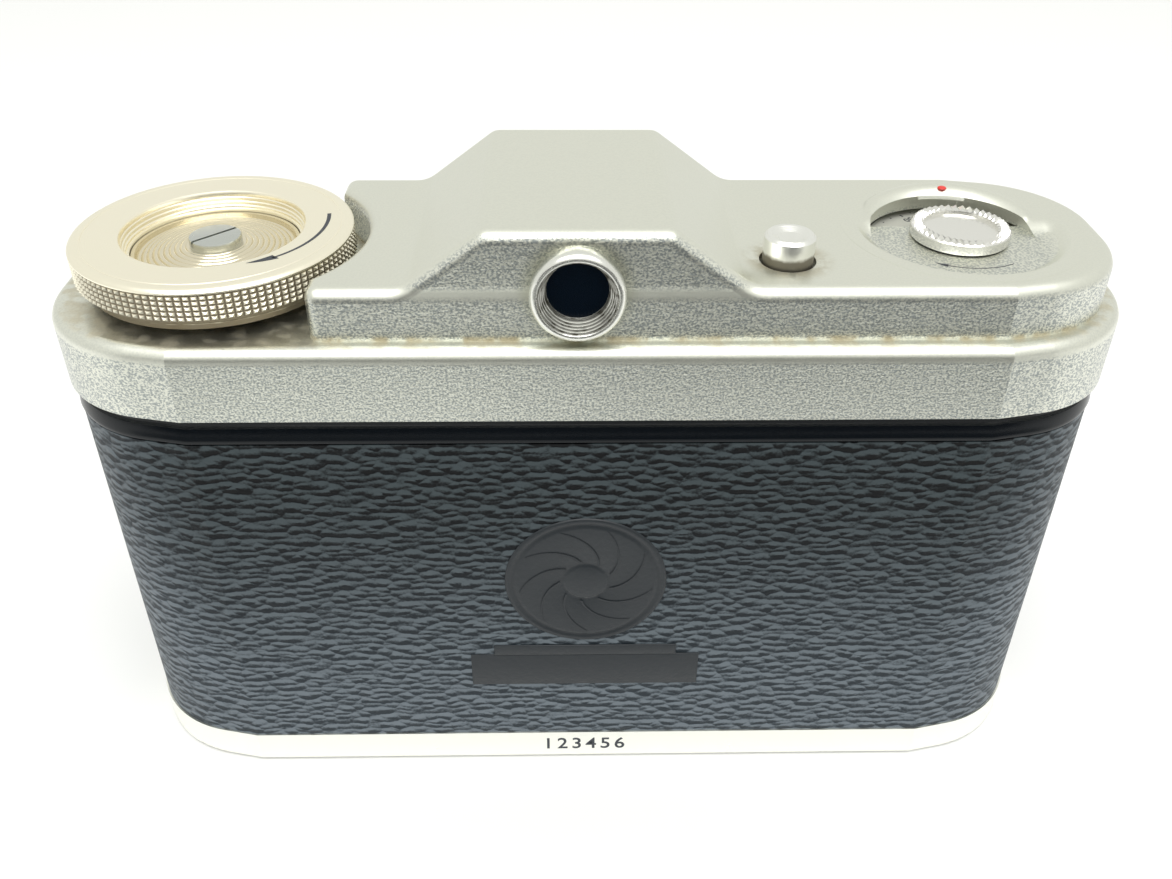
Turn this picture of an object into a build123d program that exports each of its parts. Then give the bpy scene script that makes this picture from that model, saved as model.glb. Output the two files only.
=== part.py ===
"""A 35 mm viewfinder camera with a leaf shutter, a wind knob and a removable back.

Units are millimetres. +Z is up, the lens looks along -Y and the back faces +Y. The origin is the
mouth of the tripod socket, in the middle of the flat underside. Each sub-part is one STEP file.
"""

from build123d import *
from math import atan2, cos, degrees, hypot, pi, radians, sin, sqrt, tan
import os

# ---- body outline, seen from above ----
HALF_LENGTH = 56.0
HALF_DEPTH = 16.2
CREASE_X = 41.0  # where the flat back turns into the slanted facet
FACET_ANGLE = 12.0
END_RADIUS = 13.5

# ---- heights ----
BASE_TOP = 4.5
RIM_BOTTOM = 48.4
RIM_TOP = 51.6
LEDGE_Z = 59.6
DECK_Z = 65.05
HUMP_Z = 70.95
PLATE_BOTTOM = 50.0  # underside of the plate that closes the film chambers

# ---- walls, as insets from the outline ----
LEATHER_OUT = 0.5
LEATHER_IN = 1.2
SHELL_IN = 2.4
HOUSING_INSET = 2.0
COVER_WALL = 1.0
BAND_ROUND = 1.3  # rounding of the ledge band's top edge
DECK_ROUND = 1.3  # rounding of the housing's top edges
RIDGE_ROUND, VALLEY_ROUND = 1.8, 3.5  # where the finder hump turns into its top and into the deck
HUMP_HALF_FOOT, HUMP_HALF_TOP = 16.9, 8.95
FLANK_SHIFT = 0.35  # how far a hump flank moves in for each millimetre the faces are lowered
SPLIT_GAP = 0.1  # half of the joint between the back cover and the front casting

# ---- axes in plan ----
SPOOL_X = 39.2  # wind knob and take-up spool on +X, frame counter on -X
CASSETTE_X = -40.4
SPROCKET = (-21.4, 3.25)
BUTTON = (-19.6, 7.6)
HUMP_X = 1.4
EYE_Z = 65.08
LENS_Z = 27.5

# ---- film ----
FILM_Y = 9.3
FRAME_W, FRAME_H = 36.0, 24.0
PERFORATION_PITCH = 4.75
SPROCKET_TEETH = 8
PERFORATION_ROW = 14.1  # height of each perforation row above and below the frame's middle
GATE_HALF = 19.6

# ---- frame counter gears ----
GEAR_MODULE = 0.36
PINION_TEETH, WHEEL_TEETH = 8, 48
GEAR_THICK = 1.0
LOWER_GEAR_Z, UPPER_GEAR_Z = 52.6, 54.4
GEAR_POST_R = 0.5

# ---- shutter and lens: distances forward from the front leather ----
FRONT_Y = -(HALF_DEPTH - LEATHER_OUT)
MOUNT_R = 20.7
SHUTTER_R = 20.5
BLADE_PIVOT_R = 14.0
PIVOT_PIN_R = 0.6
BLADE_COUNT = 5
BLADE_HOLE_R = 7.0

# ---- base fittings ----
KEY_R = 8.3
KEY_SHAFT_R = 2.2
BUSH_R = 6.0

RUNNING = 0.05  # radial clearance of a shaft in its bearing
STEM_R = 1.2
BAY_R, BAY_X, BAY_Y = 16.0, 27.5, 10.9  # the housing's cut-out around the wind knob


# ---------------------------------------------------------------- helpers
def outline(inset=0.0):
    """The body's plan as a face: flat front and back, slanted facets and rounded ends."""
    slope = radians(FACET_ANGLE)
    centre_x = HALF_LENGTH - END_RADIUS
    end_flat = HALF_DEPTH - (END_RADIUS + (centre_x - CREASE_X) * sin(slope)) / cos(slope)
    radius = END_RADIUS - inset
    crease = (CREASE_X - inset * tan(slope / 2), HALF_DEPTH - inset)
    touch = (centre_x + radius * sin(slope), end_flat + radius * cos(slope))
    half_way = (pi / 2 - slope) / 2
    middle = (centre_x + radius * cos(half_way), end_flat + radius * sin(half_way))
    tip = (HALF_LENGTH - inset, end_flat)
    quarter = [
        Line((0, HALF_DEPTH - inset), crease),
        Line(crease, touch),
        ThreePointArc(touch, middle, tip),
        Line(tip, (HALF_LENGTH - inset, 0)),
    ]
    half = quarter + [edge.mirror(Plane.XZ) for edge in quarter]
    return make_face(Wire(half + [edge.mirror(Plane.YZ) for edge in half]))


def slab(face, low, high):
    """The face pulled up between two heights."""
    return extrude(Pos(0, 0, low) * face, high - low)


def wall(outer, inner, low, high):
    """A ring of wall between two insets of the outline."""
    return slab(outline(outer), low, high) - slab(outline(inner), low, high)


def block(x0, x1, y0, y1, z0, z1):
    """A box between its corner coordinates."""
    return Pos((x0 + x1) / 2, (y0 + y1) / 2, (z0 + z1) / 2) * Box(x1 - x0, y1 - y0, z1 - z0)


def back_half(gap=0.0):
    """Everything behind the plane where the back cover parts from the casting."""
    return block(-90, 90, gap, 60, -5, 90)


def front_half(gap=0.0):
    return block(-90, 90, -60, -gap, -5, 90)


def turned(profile, at=(0, 0, 0), toward="+Z"):
    """A lathe part from (radius, height) points, its height axis pointing toward +Z, -Z, +Y or -Y."""
    face = make_face(Polyline(*[(r, 0, h) for r, h in profile], close=True))
    turn = {"+Z": Rot(0, 0, 0), "-Z": Rot(180, 0, 0), "-Y": Rot(90, 0, 0), "+Y": Rot(-90, 0, 0)}
    return Pos(*at) * turn[toward] * revolve(face, Axis.Z)


def rod(radius, low, high, x=0.0, y=0.0):
    """An upright cylinder."""
    return Pos(x, y, (low + high) / 2) * Cylinder(radius, high - low)


def tube(outer, inner, low, high, x=0.0, y=0.0):
    return rod(outer, low, high, x, y) - rod(inner, low, high, x, y)


def on_lens(profile):
    """A lathe part on the lens axis, its heights measured forward from the front leather."""
    return turned(profile, (0, FRONT_Y, LENS_Z), "-Y")


def lens_ring(outer, inner, near, far):
    return on_lens([(inner, near), (outer, near), (outer, far), (inner, far)])


def around_lens(shape, angle):
    """Turns a shape about the lens axis."""
    return shape.rotate(Axis((0, 0, LENS_Z), (0, -1, 0)), angle)


def gear(teeth, thick, bore, slim=1.0):
    """A spur gear with straight-flanked teeth; slim narrows a tooth to leave backlash."""
    pitch = teeth * GEAR_MODULE / 2
    step = 2 * pi / teeth
    shape = [
        (pitch - 1.25 * GEAR_MODULE, 0.36),
        (pitch - 0.1 * GEAR_MODULE, 0.25),
        (pitch + 0.55 * GEAR_MODULE, 0.16),
        (pitch + 0.9 * GEAR_MODULE, 0.07),
    ]
    points = []
    for tooth in range(teeth):
        middle = tooth * step
        for radius, share in shape:
            points.append((radius, middle - share * slim * step))
        for radius, share in reversed(shape):
            points.append((radius, middle + share * slim * step))
    face = make_face(Polyline(*[(r * cos(a), r * sin(a)) for r, a in points], close=True))
    return extrude(face, thick) - rod(bore, -1, thick + 1)


def idler_axis():
    """Where the idler sits, toward the front, so that both of its meshes have the same centre distance."""
    reach = (PINION_TEETH + WHEEL_TEETH) * GEAR_MODULE / 2
    dx, dy = -SPOOL_X - SPROCKET[0], -SPROCKET[1]
    gap = hypot(dx, dy)
    aside = sqrt(reach**2 - (gap / 2) ** 2)
    return (SPROCKET[0] + dx / 2 - dy / gap * aside, SPROCKET[1] + dy / 2 + dx / gap * aside)


def meshed(wheel, axis, mate, mate_turn, mate_teeth, teeth):
    """The wheel moved to its axis and turned so that its teeth fit the mate's gaps."""
    toward = degrees(atan2(mate[1] - axis[1], mate[0] - axis[0]))
    phase = ((toward + 180 - mate_turn) * mate_teeth / 360) % 1.0
    turn = toward - (0.5 - phase) * 360 / teeth
    return Pos(axis[0], axis[1], 0) * Rot(0, 0, turn) * wheel, turn


# ---------------------------------------------------------------- body and top
def body_casting():
    """Front shell, closing plate, light tunnel, posts, lower web and latch hook in one casting."""
    floor, web_z = BASE_TOP + 0.1, 6.6
    inner_y = HALF_DEPTH - SHELL_IN
    gate_y = FILM_Y - 1.6
    casting = wall(LEATHER_IN, SHELL_IN, floor, PLATE_BOTTOM) & front_half(SPLIT_GAP)
    casting += slab(outline(SHELL_IN + 0.2), PLATE_BOTTOM, RIM_TOP)
    casting += slab(outline(LEATHER_IN), PLATE_BOTTOM, RIM_TOP) & front_half(SPLIT_GAP)
    casting += block(-25.0, 25.0, -inner_y - 0.2, gate_y, web_z, web_z + 1.2)
    for x0, x1, y0 in ((17.0, 18.2, 2.0), (-14.5, -12.5, 4.0)):
        casting += block(x0, x1, y0, gate_y, web_z, PLATE_BOTTOM)
    casting += light_tunnel(0.0) - light_tunnel(1.3)
    casting -= light_tunnel(1.3)
    for row in (-PERFORATION_ROW, PERFORATION_ROW):
        casting -= rod(7.6, LENS_Z + row - 1.2, LENS_Z + row + 1.2, *SPROCKET)
    casting -= turned([(0, -5), (11.0, -5), (11.0, 5), (0, 5)], (0, FRONT_Y, LENS_Z), "-Y")
    casting -= rod(2.5 + RUNNING, PLATE_BOTTOM - 1, RIM_TOP + 1, SPOOL_X)
    casting -= rod(1.5 + RUNNING, web_z - 1, RIM_TOP + 1, *SPROCKET)
    casting -= rod(STEM_R + RUNNING, PLATE_BOTTOM - 1, RIM_TOP + 1, *BUTTON)
    for x, y in (idler_axis(), (-SPOOL_X, 0)):
        casting -= rod(GEAR_POST_R, RIM_TOP - 1.2, RIM_TOP + 1, x, y)
    return casting + latch_hook(-inner_y)


def latch_hook(wall_y):
    """Hook on the front wall that the latch bar turns over."""
    x0, x1, lip_z = SPOOL_X - 4, SPOOL_X + 1, 2.4
    hook = block(x0, x1, wall_y + 0.1, wall_y + 1.2, lip_z, lip_z + 6.2)
    hook += block(x0, x1, wall_y - 0.2, wall_y + 0.3, 5.0, lip_z + 6.2)
    return hook + block(x0, x1, wall_y + 0.1, wall_y + 3.2, lip_z, lip_z + 1.1)


def light_tunnel(thick):
    """The tapered box from the lens to the film gate, drawn in by a wall thickness."""
    front = -(HALF_DEPTH - LEATHER_IN) + 0.5 - thick
    rear = FILM_Y - 1.6 + thick
    near, far = 14.4 - thick, 18.2 - thick
    plan = make_face(Polyline((-near, front), (-far, rear), (far, rear), (near, front), close=True))
    return slab(plan, LENS_Z - 13.3 + thick, LENS_Z + 13.3 - thick)


def gear_posts():
    """Two steel posts that the idler and the counter wheel turn on."""
    axes = (idler_axis(), (-SPOOL_X, 0))
    return Compound(children=[rod(GEAR_POST_R, RIM_TOP - 1.2, 56.8, x, y) for x, y in axes])


def gate_plate():
    """The film gate: a flat frame with two inner and two outer film rails."""
    half_x, face_y, rear_y = 24.5, FILM_Y - 0.4, FILM_Y - 1.6
    plate = block(-half_x, half_x, rear_y, face_y, LENS_Z - GATE_HALF, LENS_Z + GATE_HALF)
    for side in (-1, 1):
        inner, outer, drum = LENS_Z + side * 12.4, LENS_Z + side * 18.4, LENS_Z + side * PERFORATION_ROW
        plate += block(-half_x, half_x, face_y, FILM_Y, inner - 0.45, inner + 0.45)
        plate += block(-half_x, half_x, face_y, FILM_Y + 0.2, outer - 0.8, outer + 0.8)
        plate -= rod(7.6, drum - 1.2, drum + 1.2, *SPROCKET)
    plate -= block(-FRAME_W / 2, FRAME_W / 2, 0, 20, LENS_Z - FRAME_H / 2, LENS_Z + FRAME_H / 2)
    return plate - block(-half_x - 0.1, -18.9, 0, 20, LENS_Z - 11.6, LENS_Z + 11.6)


def cover_mass(inset, top_drop, low):
    """The top housing as a solid: the plan outline cut by the front view with its raised middle."""
    top, hump = DECK_Z - top_drop, HUMP_Z - top_drop
    half_valley, half_top = HUMP_HALF_FOOT - top_drop * FLANK_SHIFT, HUMP_HALF_TOP - top_drop * FLANK_SHIFT
    far = HALF_LENGTH + 5
    profile = Polyline(
        (-far, low), (far, low), (far, top), (HUMP_X + half_valley, top), (HUMP_X + half_top, hump),
        (HUMP_X - half_top, hump), (HUMP_X - half_valley, top), (-far, top), close=True,
    )
    face = make_face(profile)
    face = fillet([v for v in face.vertices() if v.Y > hump - 0.1], RIDGE_ROUND)
    valley = [v for v in face.vertices() if abs(v.Y - top) < 0.1 and abs(v.X - HUMP_X) < half_valley + 1]
    face = fillet(valley, VALLEY_ROUND)
    prism = extrude(Rot(90, 0, 0) * face, 30, both=True)
    plan = slab(outline(inset), low, hump + 1)
    bay = rod(BAY_R + top_drop, low - 1, hump + 2, SPOOL_X)
    bay_x, bay_y = BAY_X - top_drop, BAY_Y - top_drop
    bay += block(bay_x, 90, bay_y, 40, low - 1, hump + 2) + block(bay_x, 90, -40, -bay_y, low - 1, hump + 2)
    return (prism & plan) - bay


def top_cover():
    """Satin metal cover: a ledge band all round, the housing with its finder hump, and the counter bay."""
    band = fillet(slab(outline(), RIM_TOP, LEDGE_Z).faces().sort_by(Axis.Z)[-1].edges(), BAND_ROUND)
    housing = cover_mass(HOUSING_INSET, 0.0, LEDGE_Z - 1)
    upper = [e for e in housing.edges() if e.center().Z > DECK_Z - 0.05 and not is_ridge(e)]
    corners = housing.edges().filter_by(Axis.Z)
    upright = [e for e in corners if e.center().X > BAY_X - 2 and abs(e.center().Y) > BAY_Y + 1]
    housing = fillet(upper + upright, DECK_ROUND)
    cover = band + housing
    cover -= slab(outline(COVER_WALL), RIM_TOP - 1, LEDGE_Z - COVER_WALL)
    cover -= cover_mass(HOUSING_INSET + COVER_WALL, COVER_WALL, LEDGE_Z - 2)
    cover += rod(12.0, 63.4, DECK_Z - 0.5, -SPOOL_X) & slab(outline(HOUSING_INSET + 0.5), 60, 70)
    cover -= counter_recess()
    cover -= rod(2.85, 60, 70, *BUTTON)
    cover -= rod(3.4, 50, 62, SPOOL_X)
    cover -= turned([(0, -5), (4.0, -5), (4.0, 5), (0, 5)], (HUMP_X, HALF_DEPTH, EYE_Z), "+Y")
    cover -= block(HUMP_X - 6.5, HUMP_X + 6.5, -20, -10, EYE_Z - 3.6, EYE_Z + 3.6)
    return cover


def is_ridge(edge):
    """True for the edges that run front to back between the faces of the finder hump."""
    box = edge.bounding_box()
    return box.size.Y > 20 and box.size.X < 0.5


def counter_recess():
    """The sloped bay around the counter knob, with a window to the dial under a brow."""
    floor_z, window_line = 64.0, -2.6
    near = block(-90, 0, window_line, 30, 50, 90)
    far = block(-90, 0, -30, window_line, 50, 90)
    bay = turned([(0, floor_z), (10.0, floor_z), (11.2, DECK_Z + 0.2), (0, DECK_Z + 0.2)], (-SPOOL_X, 0, 0))
    under_brow = rod(9.1, 63.0, DECK_Z + 1, -38.3, 1.5)
    window = rod(9.6, 63.0, 64.35, -SPOOL_X)
    return (bay & near) + (under_brow & far) + (window & far) + rod(2.0, 63, 65, -SPOOL_X)


def eyepiece_ring():
    profile = [
        (4.0, -1.4), (4.0, 0.0), (4.65, 0.0), (4.65, 1.2), (4.25, 2.0), (3.9, 2.0), (3.9, 1.5),
        (3.6, 1.5), (3.6, 0.9), (3.3, 0.9), (3.3, 0.3), (3.0, 0.3), (3.0, -1.4),
    ]
    return turned(profile, (HUMP_X, HALF_DEPTH - HOUSING_INSET, EYE_Z), "+Y")


def eyepiece_lens():
    profile = [(0, -1.2), (3.0, -1.2), (3.0, -0.2), (0, -0.2)]
    return turned(profile, (HUMP_X, HALF_DEPTH - HOUSING_INSET, EYE_Z), "+Y")


def finder_tube():
    """Blackened box that joins the eyepiece to the front window."""
    low, high = -12.4, 12.6
    shell = block(HUMP_X - 7.2, HUMP_X + 7.2, low, high, EYE_Z - 4.2, EYE_Z + 4.2)
    return shell - block(HUMP_X - 6.4, HUMP_X + 6.4, low - 1, high - 1, EYE_Z - 3.5, EYE_Z + 3.5) - turned(
        [(0, -9), (3.0, -9), (3.0, 9), (0, 9)], (HUMP_X, high, EYE_Z), "+Y"
    )


def finder_window():
    front = -(HALF_DEPTH - HOUSING_INSET)
    return block(HUMP_X - 6.45, HUMP_X + 6.45, front + 0.1, front + 1.2, EYE_Z - 3.55, EYE_Z + 3.55)


def front_leather():
    skin = wall(LEATHER_OUT, LEATHER_IN, BASE_TOP + 0.1, RIM_BOTTOM) & front_half(SPLIT_GAP)
    hole_r = MOUNT_R + RUNNING
    return skin - turned([(0, -5), (hole_r, -5), (hole_r, 5), (0, 5)], (0, FRONT_Y, LENS_Z), "-Y")


def front_rim():
    return wall(LEATHER_OUT - 0.15, LEATHER_IN, RIM_BOTTOM, RIM_TOP) & front_half(SPLIT_GAP)


# ---------------------------------------------------------------- winding and counting
def wind_knob():
    """Knurled rim with a flat top ring, open in the middle for the dish."""
    profile = [
        (8.7, 61.6), (14.1, 61.45), (14.5, 61.8), (14.5, 64.7), (13.9, 65.3), (8.7, 65.3), (8.7, 64.6),
        (8.3, 64.6), (8.3, 63.4), (8.7, 63.4),
    ]
    return turned(profile, (SPOOL_X, 0, 0))


def wind_dish():
    """Turned disc with concentric rings, seated in the knob."""
    points = [(0.0, 61.6), (8.65, 61.6), (8.65, 63.35), (8.25, 63.35)]
    for ring in range(8):
        radius, height = 8.0 - ring * 0.6, 62.75 + ring * 0.09
        points += [(radius, height), (radius - 0.3, height + 0.16)]
    points += [(3.1, 63.5), (0.0, 63.5)]
    return turned(points, (SPOOL_X, 0, 0)) - rod(1.3, 61, 64, SPOOL_X)


def wind_screw():
    """Slotted cheese-head screw that holds the knob."""
    screw = rod(2.7, 63.5, 64.4, SPOOL_X) + rod(1.25, 58.5, 63.5, SPOOL_X)
    slot = Pos(SPOOL_X, 0, 64.3) * Rot(0, 0, 25) * Box(8, 0.55, 0.8)
    return screw - slot


def wind_spindle():
    """Shaft from the knob to the drive dogs of the take-up spool."""
    profile = [(0, 46.0), (2.5, 46.0), (2.5, 58.6), (3.2, 58.6), (3.2, 61.6), (0, 61.6)]
    spindle = turned(profile, (SPOOL_X, 0, 0))
    spindle += block(SPOOL_X - 3.4, SPOOL_X + 3.4, -0.6, 0.6, 46.0, 47.2)
    return spindle - rod(1.25, 58.5, 62, SPOOL_X)


def take_up_spool():
    """Film spool: a slotted core between two flanges, driven by the spindle's cross bar."""
    core = turned(
        [(2.3, 6.2), (11.5, 6.2), (11.5, 7.0), (6.05, 7.0), (6.05, 48.4), (11.5, 48.4), (11.5, 49.4),
         (2.6, 49.4), (2.6, 48.0), (4.4, 48.0), (4.4, 9.0), (2.3, 9.0)],
        (SPOOL_X, 0, 0),
    )
    core -= block(SPOOL_X - 7, SPOOL_X - 3, -0.6, 0.6, 14, 41)
    return core - block(SPOOL_X - 0.9, SPOOL_X + 0.9, 3, 7, 20, 35)


def sprocket():
    """Two toothed drums on one shaft; the teeth are one perforation apart."""
    radius = SPROCKET_TEETH * PERFORATION_PITCH / (2 * pi)
    x, y = SPROCKET
    part = rod(1.5, 6.6, LOWER_GEAR_Z - 0.1, x, y)
    part += rod(0.6, PLATE_BOTTOM, LOWER_GEAR_Z + GEAR_THICK + 0.3, x, y)
    for row in (-PERFORATION_ROW, PERFORATION_ROW):
        middle = LENS_Z + row
        part += rod(radius, middle - 0.9, middle + 0.9, x, y)
        tooth = Pos(radius + 0.35, 0, 0) * Box(1.3, 1.3, 1.2)
        for index in range(SPROCKET_TEETH):
            part += Pos(x, y, middle) * Rot(0, 0, index * 360 / SPROCKET_TEETH) * tooth
    return part


def sprocket_pinion():
    """The pinion on the sprocket shaft's stub."""
    part = gear(PINION_TEETH, GEAR_THICK, 0.6, 0.9)
    return Pos(SPROCKET[0], SPROCKET[1], LOWER_GEAR_Z) * part


def gear_train():
    """Idler and counter wheels, turned into mesh with each other at rest."""
    idler, counter = idler_axis(), (-SPOOL_X, 0.0)
    bore = GEAR_POST_R + RUNNING
    wheel = Pos(0, 0, LOWER_GEAR_Z) * gear(WHEEL_TEETH, GEAR_THICK, bore)
    placed, turn = meshed(wheel, idler, SPROCKET, 0.0, PINION_TEETH, WHEEL_TEETH)
    pinion = Pos(0, 0, UPPER_GEAR_Z) * gear(PINION_TEETH, GEAR_THICK, bore, 0.9)
    hub = tube(1.7, bore, LOWER_GEAR_Z + GEAR_THICK, UPPER_GEAR_Z)
    placed += Pos(idler[0], idler[1], 0) * Rot(0, 0, turn) * (pinion + hub)
    big = Pos(0, 0, UPPER_GEAR_Z) * gear(WHEEL_TEETH, GEAR_THICK, bore)
    counter_wheel, _ = meshed(big, counter, idler, turn, PINION_TEETH, WHEEL_TEETH)
    top = UPPER_GEAR_Z + GEAR_THICK
    arbor = turned(
        [(bore, top), (2.4, top), (2.4, 56.4), (1.6, 56.4), (1.6, 61.4), (0, 61.4), (0, 57.0), (bore, 57.0)],
        (-SPOOL_X, 0, 0),
    )
    return placed, counter_wheel + arbor


def counter_dial():
    """Numbered disc under the window, on a sleeve that slips on the wheel's arbor."""
    bore = 1.6 + RUNNING
    profile = [
        (0, 61.6), (bore, 61.6), (bore, 58.0), (2.6, 58.0), (2.6, 61.9), (9.4, 62.7), (9.4, 63.2), (0, 63.2),
    ]
    return turned(profile, (-SPOOL_X, 0, 0))


def counter_knob():
    """Low knob with a serrated crown."""
    knob = turned(
        [(0, 63.2), (1.5, 63.2), (1.5, 64.1), (5.15, 64.1), (5.15, 65.25), (4.8, 65.6), (4.0, 65.6),
         (3.6, 65.1), (0, 65.1)],
        (-SPOOL_X, 0, 0),
    )
    count = 36
    notch = Rot(0, 45, 0) * Box(0.42, 3.0, 0.42)
    for index in range(count):
        knob -= Pos(-SPOOL_X, 0, 65.68) * Rot(0, 0, index * 360 / count) * Pos(0, 4.6, 0) * notch
    return knob


# ---------------------------------------------------------------- release
def release_button():
    """Dished button on a stem that passes down through its bush and the closing plate."""
    profile = [
        (0, 49.6), (STEM_R, 49.6), (STEM_R, 61.2), (2.55, 61.2), (2.55, 67.6), (2.25, 67.9), (1.9, 67.9),
        (1.2, 67.55), (0, 67.45),
    ]
    return turned(profile, (*BUTTON, 0))


def release_bush():
    """Cup under the cover that guides the button and holds its spring."""
    profile = [
        (STEM_R + RUNNING, 54.2), (3.4, 54.2), (3.4, DECK_Z - COVER_WALL), (2.6, DECK_Z - COVER_WALL),
        (2.6, 55.0), (STEM_R + RUNNING, 55.0),
    ]
    return turned(profile, (*BUTTON, 0))


def release_spring():
    """Return spring between the bush's floor and the button's shoulder."""
    wire, turns, low, high = 0.28, 5, 55.32, 60.88
    path = Helix(pitch=(high - low) / turns, height=high - low, radius=1.95)
    section = Plane(origin=path @ 0, z_dir=path % 0) * Circle(wire)
    return Pos(BUTTON[0], BUTTON[1], low) * sweep(section, path=path, is_frenet=True)


def release_link():
    """Bent strip from the stem's foot to the back of the shutter."""
    low, high = 48.9, 49.6
    x_far, y_front = -25.5, -13.5
    link = block(x_far, BUTTON[0] + 1.0, 5.6, 7.55, low, high)
    link += block(x_far, x_far + 2.0, y_front, 7.55, low, high)
    link += block(x_far, -13.0, y_front, y_front + 0.7, 46.4, high)
    return link + block(-14.6, -13.0, y_front, y_front + 0.7, 43.2, 47.0)


# ---------------------------------------------------------------- shutter and lens
def shutter_mount():
    """Bright ring between the body and the shutter."""
    return lens_ring(MOUNT_R, 13.2, -0.7, 1.6)


def shutter_housing():
    """Drum that carries the blades and the setting rings."""
    return on_lens([
        (13.0, 1.6), (SHUTTER_R, 1.6), (SHUTTER_R, 3.0), (19.4, 3.0), (19.4, 6.6), (SHUTTER_R, 6.6),
        (SHUTTER_R, 10.0), (15.6, 10.0), (15.6, 15.2), (14.6, 15.2), (14.6, 8.4), (17.5, 8.4), (17.5, 5.2),
        (13.0, 5.2),
    ])


def blade_plate():
    """Plate behind the blades with their pivot pins."""
    plate = lens_ring(17.4, BLADE_HOLE_R, 5.2, 6.0)
    pin = Pos(0, FRONT_Y - 6.9, LENS_Z + BLADE_PIVOT_R) * Rot(90, 0, 0) * Cylinder(PIVOT_PIN_R, 1.8)
    for index in range(BLADE_COUNT):
        plate += around_lens(pin, index * 360 / BLADE_COUNT)
    return plate


def shutter_blade(index):
    """One thin blade: a petal over the opening and an arm to its pivot, each in its own plane."""
    edge, pivot = -0.5, BLADE_PIVOT_R
    petal = Polyline((edge, -1), (edge, 7.9), (4.0, 7.0), (6.4, 4.8), (7.9, 1.1), (1.2, -1), close=True)
    arm = Polyline((edge, 6.0), (3.2, 6.0), (1.6, pivot), (-1.4, pivot), close=True)
    face = make_face(petal) + make_face(arm) + Pos(0, pivot) * Circle(1.6)
    face -= Pos(0, pivot) * Circle(PIVOT_PIN_R + RUNNING)
    blade = extrude(face, 0.12)
    height = 6.1 + index * 0.25
    placed = Pos(0, FRONT_Y - height, LENS_Z) * Rot(90, 0, 0) * blade
    return around_lens(placed, index * 360 / BLADE_COUNT)


def rear_cell():
    """Rear lens cell with the ring that clamps the shutter to the body."""
    return on_lens([
        (8.2, -6.0), (10.9, -6.0), (10.9, -0.7), (12.9, -0.7), (12.9, 5.1), (7.2, 5.1), (7.2, 3.2),
        (8.2, 3.2),
    ])


def clamp_ring():
    """Ring nut that clamps the shutter and the rear cell to the casting."""
    return lens_ring(11.9, 10.9, -3.6, -1.9)


def rear_lens():
    return on_lens([(0, -5.2), (4, -5.0), (8.15, -4.4), (8.15, -1.6), (4, -2.2), (0, -2.4)])


def aperture_ring():
    """Ring in the housing's groove with a setting tab."""
    ring = lens_ring(21.4, 19.4 + RUNNING, 3.05, 6.55)
    tab = Pos(0, FRONT_Y - 4.8, LENS_Z + 22.0) * Box(4.0, 3.0, 2.0)
    return ring + around_lens(tab, 150)


def speed_ring():
    """Knurled speed ring on the front of the drum."""
    return lens_ring(22.2, 15.6 + RUNNING, 10.05, 13.2)


def cocking_lever():
    """Flat arm in front of the speed ring that swings about the lens axis, with a finger knob."""
    arm = lens_ring(18.2, 15.6 + RUNNING, 13.3, 14.3)
    handle = Pos(0, FRONT_Y - 13.8, LENS_Z + 21.0) * Box(3.4, 1.0, 8.0)
    profile = [(0, 13.3), (1.9, 13.3), (1.9, 17.0), (1.4, 17.5), (0, 17.5)]
    knob = turned(profile, (0, FRONT_Y, LENS_Z + 24.0), "-Y")
    return around_lens(arm + handle + knob, -62)


def flash_socket():
    """Sync terminal on the side of the drum: a sleeve around a centre pin."""
    seat = SHUTTER_R - 0.3
    profile = [(0, 0), (1.6, 0), (1.6, 4.5), (1.2, 4.5), (1.2, 1.2), (0.4, 1.2), (0.4, 4.0), (0, 4.0)]
    socket = turned(profile, (0, FRONT_Y - 8.3, LENS_Z + seat)) - lens_ring(SHUTTER_R, 0, 6.6, 10.0)
    return around_lens(socket, 108)


def focus_ring():
    """Outer focusing ring that turns on the drum's nose."""
    return on_lens([
        (15.6 + RUNNING, 14.4), (19.0, 14.4), (19.0, 20.4), (18.4, 21.0), (16.2, 21.0), (16.2, 15.4),
        (15.6 + RUNNING, 15.4),
    ])


def lens_barrel():
    """Sliding barrel with the front rim that takes a push-on filter."""
    return on_lens([
        (9.6, 9.0), (14.5, 9.0), (14.5, 21.6), (16.0, 21.6), (16.0, 25.6), (15.2, 25.6), (14.4, 22.4),
        (11.2, 20.2), (9.6, 20.2),
    ])


def front_lens():
    return on_lens([(0, 15.0), (4.5, 15.1), (9.55, 15.4), (9.55, 19.0), (7.5, 19.9), (4.0, 20.7), (0, 21.0)])


# ---------------------------------------------------------------- removable back and base
def back_cover():
    """Pressed back: the rear wall and both rounded ends."""
    return wall(LEATHER_IN, SHELL_IN, BASE_TOP, RIM_TOP - 0.1) & back_half(SPLIT_GAP)


def back_leather():
    return wall(LEATHER_OUT, LEATHER_IN, BASE_TOP, RIM_BOTTOM) & back_half(SPLIT_GAP)


def back_rim():
    return wall(LEATHER_OUT - 0.15, LEATHER_IN, RIM_BOTTOM, RIM_TOP - 0.1) & back_half(SPLIT_GAP)


def base_plate():
    """Shallow tray that is one unit with the back."""
    tray = slab(outline(LEATHER_OUT - 0.2), 0, BASE_TOP)
    tray = fillet(tray.faces().sort_by(Axis.Z)[0].edges(), 0.5)
    tray -= slab(outline(SHELL_IN), 1.2, BASE_TOP + 1)
    for x in (CASSETTE_X, SPOOL_X):
        tray += tube(10.0, KEY_R + 0.1, 1.0, 3.6, x) + rod(9.0, 2.6, 3.6, x)
    for x in (CASSETTE_X, SPOOL_X):
        tray -= rod(KEY_R + 0.1, -1, 2.6, x) + rod(KEY_SHAFT_R + RUNNING, 2, 4, x)
    return tray - rod(BUSH_R + 0.02, -1, 2, 0)


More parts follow.
